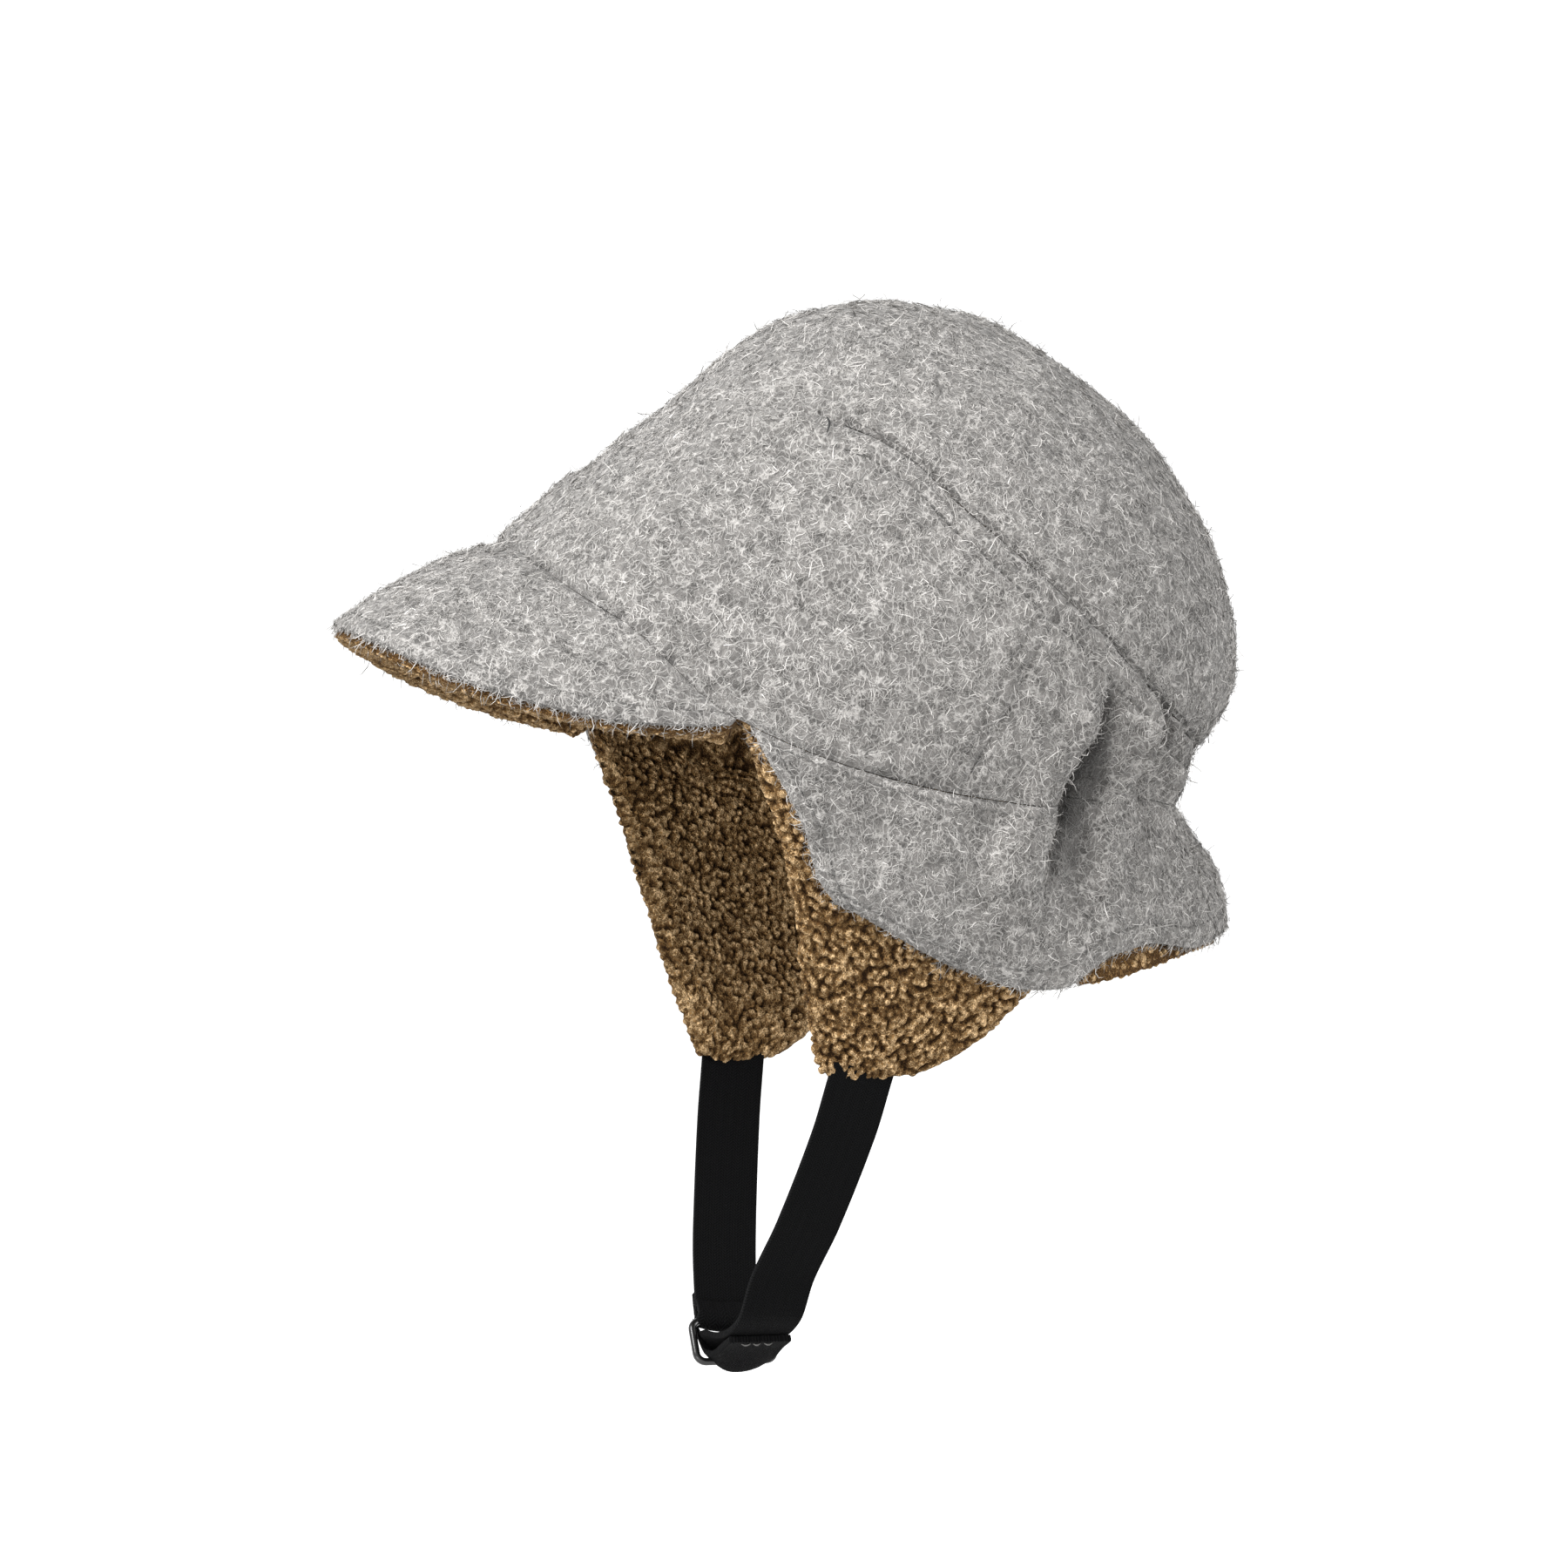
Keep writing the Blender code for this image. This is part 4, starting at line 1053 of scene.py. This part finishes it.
seamRows = (
    ("dome", "foot", 0.0014), ("front", "top", 0.0088), ("nape", "top", 0.0086), ("peak", "foot", 0.0052),
)
curtainRows = (
    ("curtain", "foot", 0.0062), ("curtain", "left", 0.0058), ("curtain", "right", 0.0058),
    ("curtain", "top", 0.003),
)
makeStitches("seamStitches", clothLines(seamRows), 131, greyThread)
makeStitches("curtainStitches", clothLines(curtainRows), 132, greyThread)
print("stitches made")


threadEnd = {"turn": 56.4, "sway": 1.1, "stations": (3.02, 3.22), "rings": 9, "sides": 8, "radius": 0.00034}


def makeThreadEnd():
    # the loose black thread where the double seam fades out
    rings = threadEnd["rings"]
    turns = threadEnd["turn"] + threadEnd["sway"] * np.sin(np.linspace(0.0, 2.4, rings))
    stations = np.linspace(*threadEnd["stations"], rings)
    base, normal = crownPoint(turns, stations), crownNormal(turns, stations)
    path = base + normal * (0.0005 + 0.0009 * np.sin(np.linspace(0.0, math.pi, rings)))[:, None]
    points = []
    for ring in range(rings):
        ahead = unit(path[min(ring + 1, rings - 1)] - path[max(ring - 1, 0)])
        wide = unit(np.cross(ahead, normal[ring]))
        radius = threadEnd["radius"] * (0.55 + 0.45 * math.sin(math.pi * ring / (rings - 1)))
        points += ringAt(path[ring], wide, normal[ring], radius, threadEnd["sides"])
    obj = makeMesh("blackThreadEnd", points, tubeFaces(0, rings, threadEnd["sides"]))
    finishPiece(obj, blackThread)


makeThreadEnd()


# Curly pile. Lumps are short worm-shaped curls, length by width, with a chosen distance between them.
pile = {
    "spacing": 0.0017, "length": 0.00155, "width": 0.0012, "height": (0.001, 0.002), "near": 5, "round": 0.66,
    "worm": 180.0,
}


def chooseApart(points, distance, rng):
    # points in random order, leaving out any that lie nearer than this to one already taken
    cells, kept = {}, []
    keys = np.floor(points / distance).astype(int)
    for index in rng.permutation(len(points)):
        x, y, z = (int(k) for k in keys[index])
        around = (
            other
            for a in (x - 1, x, x + 1)
            for b in (y - 1, y, y + 1)
            for c in (z - 1, z, z + 1)
            for other in cells.get((a, b, c), ())
        )
        if all(((points[other] - points[index]) ** 2).sum() >= distance * distance for other in around):
            cells.setdefault((x, y, z), []).append(index)
            kept.append(index)
    return np.array(kept)


def pileHeight(points, normals, seed, scale=1.0):
    # height of the curls over each point, and the share of it that its curl reaches
    rng = np.random.default_rng(seed)
    spacing = pile["spacing"] * scale
    kept = chooseApart(points, spacing, rng)
    centres = points[kept] + rng.normal(0.0, 0.12 * spacing, (len(kept), 3))
    tree = KDTree(len(kept))
    for index, centre in enumerate(centres):
        tree.insert(Vector(centre), index)
    tree.balance()
    near = np.array([[hit[1] for hit in tree.find_n(Vector(point), pile["near"])] for point in points])
    ways = unit(rng.normal(size=(len(kept), 3)))
    long = pile["length"] * scale * rng.uniform(0.75, 1.35, len(kept))
    wide = pile["width"] * scale * rng.uniform(0.85, 1.25, len(kept))
    tall = rng.uniform(*pile["height"], len(kept)) * scale
    best = np.zeros(len(points))
    for column in range(near.shape[1]):
        pick = near[:, column]
        away = points - centres[pick]
        away -= normals * (away * normals).sum(1, keepdims=True)
        way = unit(ways[pick] - normals * (ways[pick] * normals).sum(1, keepdims=True))
        u = (away * way).sum(1)
        v = (np.cross(normals, way) * away).sum(1)
        v = v + pile["worm"] / scale * u * u * np.where(pick % 2 == 0, 1.0, -1.0)
        inside = 1.0 - (u / long[pick]) ** 2 - (v / wide[pick]) ** 2
        best = np.maximum(best, tall[pick] * np.maximum(inside, 0.0) ** pile["round"])
    return best, best / (pile["height"][1] * scale)


def makeFleece(piece, fine, normals, coarse, wraps=False, capped=False, flipped=True):
    # fine is the side with curls, whose points rise along normals, and coarse is its back
    flat = fine.reshape(-1, 3)
    height, share = pileHeight(flat, normals.reshape(-1, 3), piece["seed"], piece.get("scale", 1.0))
    if capped:
        columns = fine.shape[1]
        height[:columns] = height[:columns].mean()
    raised = flat + normals.reshape(-1, 3) * (height - piece["sink"])[:, None]
    rows = everyRow(piece["rows"], piece["step"])
    obj = makeShell(piece["name"], raised.reshape(fine.shape), rows, coarse[rows], wraps, capped)
    if flipped:
        obj.data.flip_normals()
    extra = len(obj.data.vertices) - len(flat)
    # curlShade carries the painted shade of the gaps and the painted highlight of the curl tops; the back
    # gets a middling value
    addAttribute(obj, "curlShade", np.concatenate([share, np.full(extra, 0.3)]))
    finishPiece(obj, fleeceMaterial, piece["node"])


under = hat["wool"] + hat["layerGap"]
peakUnder = {
    "name": "peakFleece", "node": "peak_lining", "columns": 312, "rows": 112, "step": 8, "seed": 61,
    "sink": 0.001, "swell": 0.0042, "roll": 0.0018,
}
crownInside = {
    "name": "crownFleece", "node": "crown_lining", "columns": 290, "rows": 98, "step": 8, "seed": 71,
    "sink": 0.0012, "scale": 1.3,
}
curtainInside = {
    "name": "curtainFleece", "node": "curtain_lining", "columns": 230, "rows": 80, "step": 6, "seed": 81,
    "sink": 0.001, "scale": 1.1,
}
curtainRim = {
    "name": "curtainRimFleece", "node": "curtain_lining", "columns": 250, "rows": 12, "step": 4, "seed": 83,
    "sink": 0.0006, "scale": 1.1, "reach": 0.009,
}
flap = {
    "columns": 150, "rows": 156, "thickness": 0.009, "edgeShare": 0.55, "drop": 0.0975, "sag": 0.0018,
    "sink": 0.001, "roll": 0.0045, "grow": 0.0016, "tuck": 0.0035,
}
flapEdges = {
    "part": (0.0, 0.2, 0.4, 0.6, 0.8, 0.92, 1.0),
    "front": (46.8, 48.0, 50.8, 52.8, 52.8, 54.2, 57.2),
    "frontDrop": (0.0, 0.133, 0.297, 0.513, 0.738, 0.882, 0.954),
    "rear": (115.0, 114.0, 112.0, 107.0, 99.0, 90.0, 80.0),
    "rearDrop": (0.23, 0.369, 0.533, 0.685, 0.826, 0.928, 0.98),
}


def slackOf(turns, heights):
    # room for the gathers: of the pile's face, and of its back, which they press in further
    turn, height = turns.ravel(), heights.ravel()
    back = 1.12 * foldSlack(turn, height, folds + fineFolds)
    face = np.maximum(foldSlack(turn, height), back - 0.6 * hat["fleece"])
    return face.reshape(turns.shape), back.reshape(turns.shape)


def rounded(distance, radius):
    # 0 at a border and 1 from this far in, as a round edge
    share = np.clip(distance / radius, 0.0, 1.0)
    return np.sqrt(1.0 - (1.0 - share) ** 2)


def roundedSides(distances, radius):
    return np.min([rounded(distances[key], radius) for key in ("left", "right", "foot")], axis=0)


def buildPeakFleece():
    shareGrid, partGrid = np.meshgrid(
        np.linspace(-peakForm["end"], peakForm["end"], peakUnder["columns"] + 1),
        1.0 - 0.994 * np.linspace(1.0, 0.0, peakUnder["rows"] + 1) ** 1.35,
    )
    base, normal = surfaceGrid(peakPoint, peakNormal, shareGrid, partGrid)
    up = normal
    # the pile rolls a little past the wool at the rim
    distances = borderDistances(base)
    rim = rounded(distances["foot"], 0.0045)
    outward = sideways(base, distances, ("foot",)) * (1.0 - rim)[..., None]
    depth = under + 0.0004 + (hat["fleece"] + peakUnder["swell"]) * rim
    fine = base - normal * depth[..., None] + outward * peakUnder["roll"]
    normal = unit(normal * rim[..., None] - outward)
    makeFleece(peakUnder, fine, -normal, fine + up * (depth - under)[..., None])


def buildCrownFleece():
    turns = np.linspace(0.0, 360.0, crownInside["columns"] + 1)[:-1]
    turnGrid, partGrid = np.meshgrid(turns, spread(crownInside["rows"]))
    base, normal = crownGrid(turnGrid, partGrid * (hat["edge"] + 0.01))
    slack, back = slackOf(turnGrid, base[..., 2])
    fine = base - normal * (slack + under + hat["fleece"])[..., None]
    coarse = base - normal * (back + under)[..., None]
    makeFleece(crownInside, fine, -normal, coarse, wraps=True, capped=True)


def liningHem(turns):
    # the lining shows a little below the wool, and hangs lowest past the nape
    away = smoothStep(148.0, 166.0, turns)
    return hemDrop(turns.ravel()).reshape(turns.shape) + 0.0032 * away + 0.0012 * (1.0 - away)


def buildCurtainFleece():
    shareGrid, partGrid = np.meshgrid(spread(curtainInside["columns"]), spread(curtainInside["rows"]))
    turnGrid = 114.5 + (360.0 - 229.0) * shareGrid
    hem = liningHem(turnGrid)
    base, normal = skirtGrid(turnGrid, 0.0002 + (hem - 0.0002) * partGrid)
    slack, back = slackOf(turnGrid, base[..., 2])
    distances = borderDistances(base)
    edge = roundedSides(distances, 0.0045)
    outward = sideways(base, distances) * (1.0 - edge)[..., None]
    thick = hat["fleece"]
    depth = np.maximum(slack + thick * (0.15 + 0.85 * edge), back + 0.5 * thick * edge) + under
    fine = base - normal * depth[..., None]
    up = normal
    normal = unit(normal * edge[..., None] - outward)
    coarse = base - up * np.minimum(back + under, depth - 0.0006)[..., None]
    makeFleece(curtainInside, fine, -normal, coarse)


def buildCurtainRim():
    # curls on the outer side of the lining's foot, where it shows below the wool
    shareGrid, partGrid = np.meshgrid(spread(curtainRim["columns"]), spread(curtainRim["rows"]))
    turnGrid = 115.0 + (360.0 - 230.0) * shareGrid
    base, normal = skirtGrid(turnGrid, liningHem(turnGrid) - curtainRim["reach"] * (1.0 - partGrid))
    back = slackOf(turnGrid, base[..., 2])[1]
    distances = borderDistances(base)
    edge = rounded(distances["foot"], 0.0022)
    outward = sideways(base, distances, ("foot",)) * (1.0 - edge)[..., None]
    depth = back + under + 0.0006 + 0.002 * (1.0 - edge)
    fine = base - normal * depth[..., None]
    way = unit(normal * edge[..., None] + outward)
    makeFleece(curtainRim, fine, way, fine - normal * 0.001, flipped=False)


def flapPlace(across, part):
    places = flapEdges["part"]
    keys = ("front", "rear", "frontDrop", "rearDrop")
    front, rear, frontDrop, rearDrop = (throughPoints(places, flapEdges[key], part) for key in keys)
    turn = front + (rear - front) * across
    height = -flap["drop"] * (frontDrop + (rearDrop - frontDrop) * across)
    height -= flap["sag"] * 4.0 * across * (1.0 - across) * part
    drop = np.maximum(hat["layerGap"], edgeOf(turn)[1] - height)
    return turn, np.where(part <= 0.0, hat["layerGap"], drop)


def skirtAt(side, turn, drop, depth):
    base = skirtPoint(side * turn, drop)
    normal = skirtNormal(side * turn, drop)
    slack = foldSlack(side * turn, base[:, 2])
    return base - normal * (slack + depth)[:, None]


def buildFlap(name, node, side, seed):
    acrossGrid, partGrid = np.meshgrid(spread(flap["columns"]), spread(flap["rows"]))
    across, part = acrossGrid.ravel(), partGrid.ravel()
    turn, drop = flapPlace(across, part)
    drop = drop - hat["layerGap"] * (1.0 - part) + flap["grow"] * part**6 - flap["tuck"] * (1.0 - part) ** 10
    base = skirtPoint(side * turn, drop)
    normal = skirtNormal(side * turn, drop)
    slack = foldSlack(side * turn, base[:, 2])
    full = (1 - np.abs(2 * across - 1) ** 6) * (1 - part**8) * smoothStep(0.0, 0.25, part)
    plump = flap["edgeShare"] + (1 - flap["edgeShare"]) * full
    shape = acrossGrid.shape
    distances = borderDistances(base.reshape(*shape, 3))
    edge = roundedSides(distances, flap["roll"]).ravel()
    half = flap["thickness"] * plump / 2
    middle = under + half
    pressed = np.minimum(foldSlack(side * turn, base[:, 2], folds + fineFolds) - slack, 1.6 * half * edge)
    outer = base - normal * (slack + pressed + middle - half * edge)[:, None]
    inner = base - normal * (slack + middle + half * edge)[:, None]
    outward = sideways(base.reshape(*shape, 3), distances).reshape(-1, 3)
    lean = (1.0 - edge)[:, None]
    both = np.concatenate([outer, inner])
    normals = np.concatenate([unit(way * (1 - lean) + outward * lean) for way in (normal, -normal)])
    height, share = pileHeight(both, normals, seed)
    raised = both + normals * (height - flap["sink"])[:, None]
    count = len(outer)
    rows = list(range(shape[0]))
    obj = makeShell(name, raised[:count].reshape(*shape, 3), rows, raised[count:].reshape(*shape, 3))
    if side < 0:
        obj.data.flip_normals()
    # curlShade carries the painted shade of the gaps and the painted highlight of the curl tops
    addAttribute(obj, "curlShade", share)
    finishPiece(obj, fleeceMaterial, node)


def sideways(grid, distances, sides=("left", "right", "foot")):
    # direction out of the nearest border, along the surface
    down = unit(np.gradient(grid, axis=0))
    across = unit(np.gradient(grid, axis=1))
    weights = {key: np.exp(-distances[key] / 0.003) * (key in sides) for key in ("left", "right", "foot")}
    way = across * (weights["right"] - weights["left"])[..., None] + down * weights["foot"][..., None]
    return unit(way)


buildPeakFleece()
buildCrownFleece()
buildCurtainFleece()
buildCurtainRim()
buildFlap("earFlapLeft", "ear_flap_left", 1.0, 91)
buildFlap("earFlapRight", "ear_flap_right", -1.0, 92)
print("fleece built")


# Chin straps and their loop, on the route that the CAD solids take
strap = {
    "width": 0.0185, "thickness": 0.0018, "drop": 0.079, "lean": 0.015, "place": 0.4, "approach": 0.004,
    "tailClose": 0.8, "leftTail": 0.021, "rightTail": 0.012, "sewn": 0.006, "bunch": 0.8,
    "bunchLift": 0.017, "bunchSwell": 0.1, "rearBunch": 0.45, "edgeCord": 0.00012, "runSteps": 56,
    "arcSteps": 16,
    "down": (0.02, 0.216, 0.542, 0.739, 0.895),
    "inward": (0.005, 0.1, 0.343, 0.537, 0.67),
    "forward": (0.02, 0.22, 0.6, 0.855, 0.96),
}
loop = {"length": 0.0235, "height": 0.0125, "radius": 0.0011, "offset": 0.011, "slant": 28.0}


def flapTip(side, across):
    turn, drop = flapPlace(np.array([across]), np.array([1.0]))
    depth = under + flap["thickness"] * flap["edgeShare"] / 2
    return skirtAt(side, turn, drop, depth)[0] - np.array([0.0, 0.0, hat["layerGap"]])


def strapTop(side):
    middle = flapTip(side, strap["place"])
    along = unit(flapTip(side, 2 * strap["place"]) - flapTip(side, 0.0))
    return middle - along * strap["width"] / 2, middle + along * strap["width"] / 2


def strapMiddle(side):
    top = sum(strapTop(side)) / 2
    shifts = zip(strap["down"], strap["inward"], strap["forward"])
    return [top + np.array([-b * top[0], -c * strap["lean"], -a * strap["drop"]]) for a, b, c in shifts]


def smoothRoute(points, count):
    points = np.array(points)
    places = np.concatenate([[0.0], np.cumsum(np.linalg.norm(np.diff(points, axis=0), axis=1))])
    at = np.linspace(0.0, places[-1], count + 1)
    return np.stack([throughPoints(places, points[:, axis], at) for axis in range(3)], axis=1)


def loopFrame():
    top = sum(strapTop(1.0)) / 2
    middle = np.array([-loop["offset"], top[1] - strap["lean"], top[2] - strap["drop"]])
    slant = math.radians(loop["slant"])
    return middle, np.array([math.sin(slant), 0.0, -math.cos(slant)]), np.array([0.0, 1.0, 0.0])


def ribbonFrame(route, index, across):
    ahead = unit(route[min(index + 1, len(route) - 1)] - route[max(index - 1, 0)])
    wide = unit(across - ahead * across.dot(ahead))
    return wide, np.cross(ahead, wide)


def foldedRoute(side, bar, along, tail):
    reach = loop["radius"] + hat["seamGap"] + strap["thickness"] / 2
    run = strapMiddle(side)
    toward = unit(bar - run[-1])
    outward = np.cross(along, toward) * side
    if outward[2] > 0.0:
        outward = -outward
    start = bar - outward * reach
    sewn = run[0] + unit(run[0] - run[1]) * strap["sewn"]
    run = list(smoothRoute([sewn] + run + [start - toward * strap["approach"]], strap["runSteps"])) + [start]
    spin = math.pi if np.cross(toward, outward).dot(along) > 0.0 else -math.pi
    arc = []
    for step in range(1, strap["arcSteps"] + 1):
        angle = spin * step / strap["arcSteps"]
        offset = start - bar
        arc.append(bar + offset * math.cos(angle) + np.cross(along, offset) * math.sin(angle))
    close = strap["thickness"] + hat["seamGap"]
    back = []
    for share in np.linspace(0.0, 1.0, 17)[1:]:
        length = tail * share
        index = len(run) - 1
        while length > np.linalg.norm(run[index] - run[index - 1]):
            length -= np.linalg.norm(run[index] - run[index - 1])
            index -= 1
        step = run[index - 1] - run[index]
        place = run[index] + step * length / np.linalg.norm(step)
        _, face = ribbonFrame(run, index, along)
        if face.dot(outward) < 0.0:
            face = -face
        spread = close + (2.0 * reach - close) * (1.0 - float(smoothStep(0.0, strap["tailClose"], share)))
        back.append(place + face * spread)
    return run + arc + back


def buildStrap(name, node, side, bar, along, tail):
    route = foldedRoute(side, bar, along, tail)
    half, thick = strap["width"] / 2, strap["thickness"] / 2
    profile = []
    inner, flat = 14, 0.985
    for sign in (1, -1):
        profile += [(sign * half * (1 - 2 * step / inner) * flat, sign * thick) for step in range(inner + 1)]
        for step in range(1, 4):
            angle = math.pi * step / 4
            reach = half * flat + thick * 0.3 * math.sin(angle)
            profile.append((-sign * reach, sign * thick * math.cos(angle)))
    points, alongs, acrosses = [], [], []
    travelled = 0.0
    topEdge = strapTop(side)
    foldIndex = strap["runSteps"] + 1 + strap["arcSteps"] // 2
    for index, point in enumerate(route):
        if index:
            travelled += np.linalg.norm(point - route[index - 1])
        wide, face = ribbonFrame(route, index, along)
        if index == 0:
            wide = unit(topEdge[1] - topEdge[0])
        # the fold that hangs in the loop is bunched: its edges are drawn up and a little out
        bunch = float(bell(index - foldIndex, 9.0)) * strap["bunch"]
        for a, b in profile:
            edge = strap["edgeCord"] * (abs(a) > half * 0.86) * (1 if b > 0 else -1)
            ahead = 1.0 if a * wide[1] < 0.0 else strap["rearBunch"]
            lifted = bunch * strap["bunchLift"] * ahead * (abs(a) / half) ** 2.5
            place = point + wide * a * (1 + strap["bunchSwell"] * bunch * ahead) + face * (b + edge)
            points.append(place - loopDown * lifted * (1.0 if side > 0 else 0.2))
            alongs.append(travelled)
            acrosses.append(a)
    obj = makeMesh(name, points, tubeFaces(0, len(route), len(profile)))
    obj.data.set_sharp_from_angle(angle=math.radians(55.0))
    addAttribute(obj, "along", alongs)
    addAttribute(obj, "across", acrosses)
    finishPiece(obj, tapeMaterial, node)
    return route


def buildLoop():
    middle, down, along = loopFrame()
    corner = 2.4 * loop["radius"]
    halfLong, halfHigh = loop["length"] / 2, loop["height"] / 2
    points = []
    for quarter, (longSign, highSign) in enumerate(((1, 1), (-1, 1), (-1, -1), (1, -1))):
        for step in range(9):
            angle = (quarter + step / 8) * math.pi / 2
            a = longSign * (halfLong - corner) + corner * math.cos(angle)
            b = highSign * (halfHigh - corner) + corner * math.sin(angle)
            points.append(middle + along * a + down * b)
    curve = bpy.data.curves.new("strapLoop", "CURVE")
    curve.dimensions = "3D"
    curve.bevel_depth = loop["radius"]
    curve.bevel_resolution = 6
    spline = curve.splines.new("POLY")
    spline.points.add(len(points) - 1)
    for place, point in zip(spline.points, points):
        place.co = (*point, 1.0)
    spline.use_cyclic_u = True
    curve.materials.append(plasticMaterial)
    obj = bpy.data.objects.new("strapLoop", curve)
    bpy.context.scene.collection.objects.link(obj)
    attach(obj, "root")
    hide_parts("strap_loop")


loopMiddle, loopDown, loopAlong = loopFrame()
lowerBar, upperBar = (loopMiddle + sign * loopDown * loop["height"] / 2 for sign in (1, -1))
leftRoute = buildStrap("chinStrapLeft", "chin_strap_left", 1.0, lowerBar, loopAlong, strap["leftTail"])
rightRoute = buildStrap("chinStrapRight", "chin_strap_right", -1.0, upperBar, loopAlong, strap["rightTail"])
buildLoop()


def sewTail(name, route, seed):
    # a row of stitches across the end of the tail, on the side away from the strap
    spot = route[-2]
    run = np.array(route[: strap["runSteps"] - 6])
    beside = run[np.argmin(np.linalg.norm(run - spot, axis=1))]
    out = unit(spot - beside)
    reach = np.linspace(-0.0078, 0.0078, 9)[:, None]
    line = spot + loopAlong * reach + out * (strap["thickness"] / 2 + 0.0001)
    ways = np.repeat(out[None, :], len(line), axis=0)
    makeStitches(name, [(line, ways)], seed, greyThread)


sewTail("tailStitchesLeft", leftRoute, 141)
sewTail("tailStitchesRight", rightRoute, 142)
print("straps built")


# Camera, lights and the pale room
view = {"azimuth": 69.0, "distance": 1.9, "frameWidth": 0.45, "originPixel": (1006, 840), "imageSide": 1800}


def makeCamera():
    azimuth = math.radians(view["azimuth"])
    data = bpy.data.cameras.new("camera")
    camera = bpy.data.objects.new("camera", data)
    bpy.context.scene.collection.objects.link(camera)
    camera.location = (math.sin(azimuth) * view["distance"], -math.cos(azimuth) * view["distance"], 0.0)
    camera.rotation_euler = (math.radians(90), 0.0, azimuth)
    data.sensor_width = 36.0
    data.lens = data.sensor_width * view["distance"] / view["frameWidth"]
    middle = view["imageSide"] / 2
    data.shift_x = -(view["originPixel"][0] - middle) / view["imageSide"]
    data.shift_y = (view["originPixel"][1] - middle) / view["imageSide"]
    bpy.context.scene.camera = camera


def makeRoom():
    # a round bowl: flat floor that rises into a wall all the way round
    room = {"floor": -0.235, "flat": 1.2, "bend": 3.0, "height": 4.6, "sides": 96, "bendSteps": 24}
    profile = [(0.0, 0.0), (0.6, 0.0), (room["flat"], 0.0)]
    for step in range(1, room["bendSteps"] + 1):
        angle = math.pi / 2 * step / room["bendSteps"]
        profile.append((room["flat"] + room["bend"] * math.sin(angle), room["bend"] * (1 - math.cos(angle))))
    profile.append((room["flat"] + room["bend"], room["height"]))
    points = [(0.0, 0.0, room["floor"])]
    for radius, height in profile[1:]:
        for side in range(room["sides"]):
            angle = 2 * math.pi * side / room["sides"]
            points.append((radius * math.cos(angle), radius * math.sin(angle), room["floor"] + height))
    faces = []
    for side in range(room["sides"]):
        after = (side + 1) % room["sides"]
        faces.append((0, 1 + side, 1 + after))
        for ring in range(len(profile) - 2):
            low, high = 1 + ring * room["sides"], 1 + (ring + 1) * room["sides"]
            faces.append((low + side, high + side, high + after, low + after))
    mesh = bpy.data.meshes.new("room")
    mesh.from_pydata(points, [], faces)
    mesh.shade_smooth()
    obj = bpy.data.objects.new("room", mesh)
    bpy.context.scene.collection.objects.link(obj)
    material, tree, shader = newMaterial("paleRoom", 0.9)
    grain = noiseOf(tree, placeOf(tree), 1.5, 2.0)
    color = mixOf(tree, grain, (0.9, 0.9, 0.9, 1), (0.93, 0.93, 0.93, 1))
    tree.links.new(color, shader.inputs["Base Color"])
    shader.inputs["Emission Color"].default_value = (1.0, 1.0, 1.0, 1.0)
    shader.inputs["Emission Strength"].default_value = 0.62
    # seen from below, the floor lets the hat through
    behind = nodeOf(tree, "NewGeometry").outputs["Backfacing"]
    clear = nodeOf(tree, "BsdfTransparent")
    either = nodeOf(tree, "MixShader", {0: behind, 1: shader.outputs[0], 2: clear.outputs[0]})
    output = next(node for node in tree.nodes if node.type == "OUTPUT_MATERIAL")
    tree.links.new(either.outputs[0], output.inputs["Surface"])
    mesh.materials.append(material)
    obj.visible_diffuse = False
    obj.visible_shadow = False


def addLight(name, azimuth, elevation, distance, size, power):
    # azimuth is measured as the camera's is
    a, e = math.radians(azimuth), math.radians(elevation)
    data = bpy.data.lights.new(name, "AREA")
    data.shape = "DISK"
    data.size = size
    data.energy = power
    lamp = bpy.data.objects.new(name, data)
    bpy.context.scene.collection.objects.link(lamp)
    lamp.location = (
        distance * math.sin(a) * math.cos(e), -distance * math.cos(a) * math.cos(e), distance * math.sin(e),
    )
    lamp.rotation_euler = (-lamp.location).to_track_quat("-Z", "Y").to_euler()


def makeLights():
    world = bpy.data.worlds.new("studio")
    world.use_nodes = True
    background = world.node_tree.nodes["Background"]
    background.inputs["Color"].default_value = (1.0, 1.0, 1.0, 1.0)
    background.inputs["Strength"].default_value = 0.42
    bpy.context.scene.world = world
    addLight("key", view["azimuth"] - 48, 38, 1.7, 0.6, 28)
    addLight("fill", view["azimuth"] - 24, -6, 2.0, 1.0, 22.5)
    addLight("above", view["azimuth"] + 5, 74, 2.0, 0.9, 8)
    addLight("side", view["azimuth"] + 70, 6, 2.0, 0.8, 21)
    bpy.context.scene.view_settings.view_transform = "Standard"


makeCamera()
makeRoom()
makeLights()
print("camera and lights set")
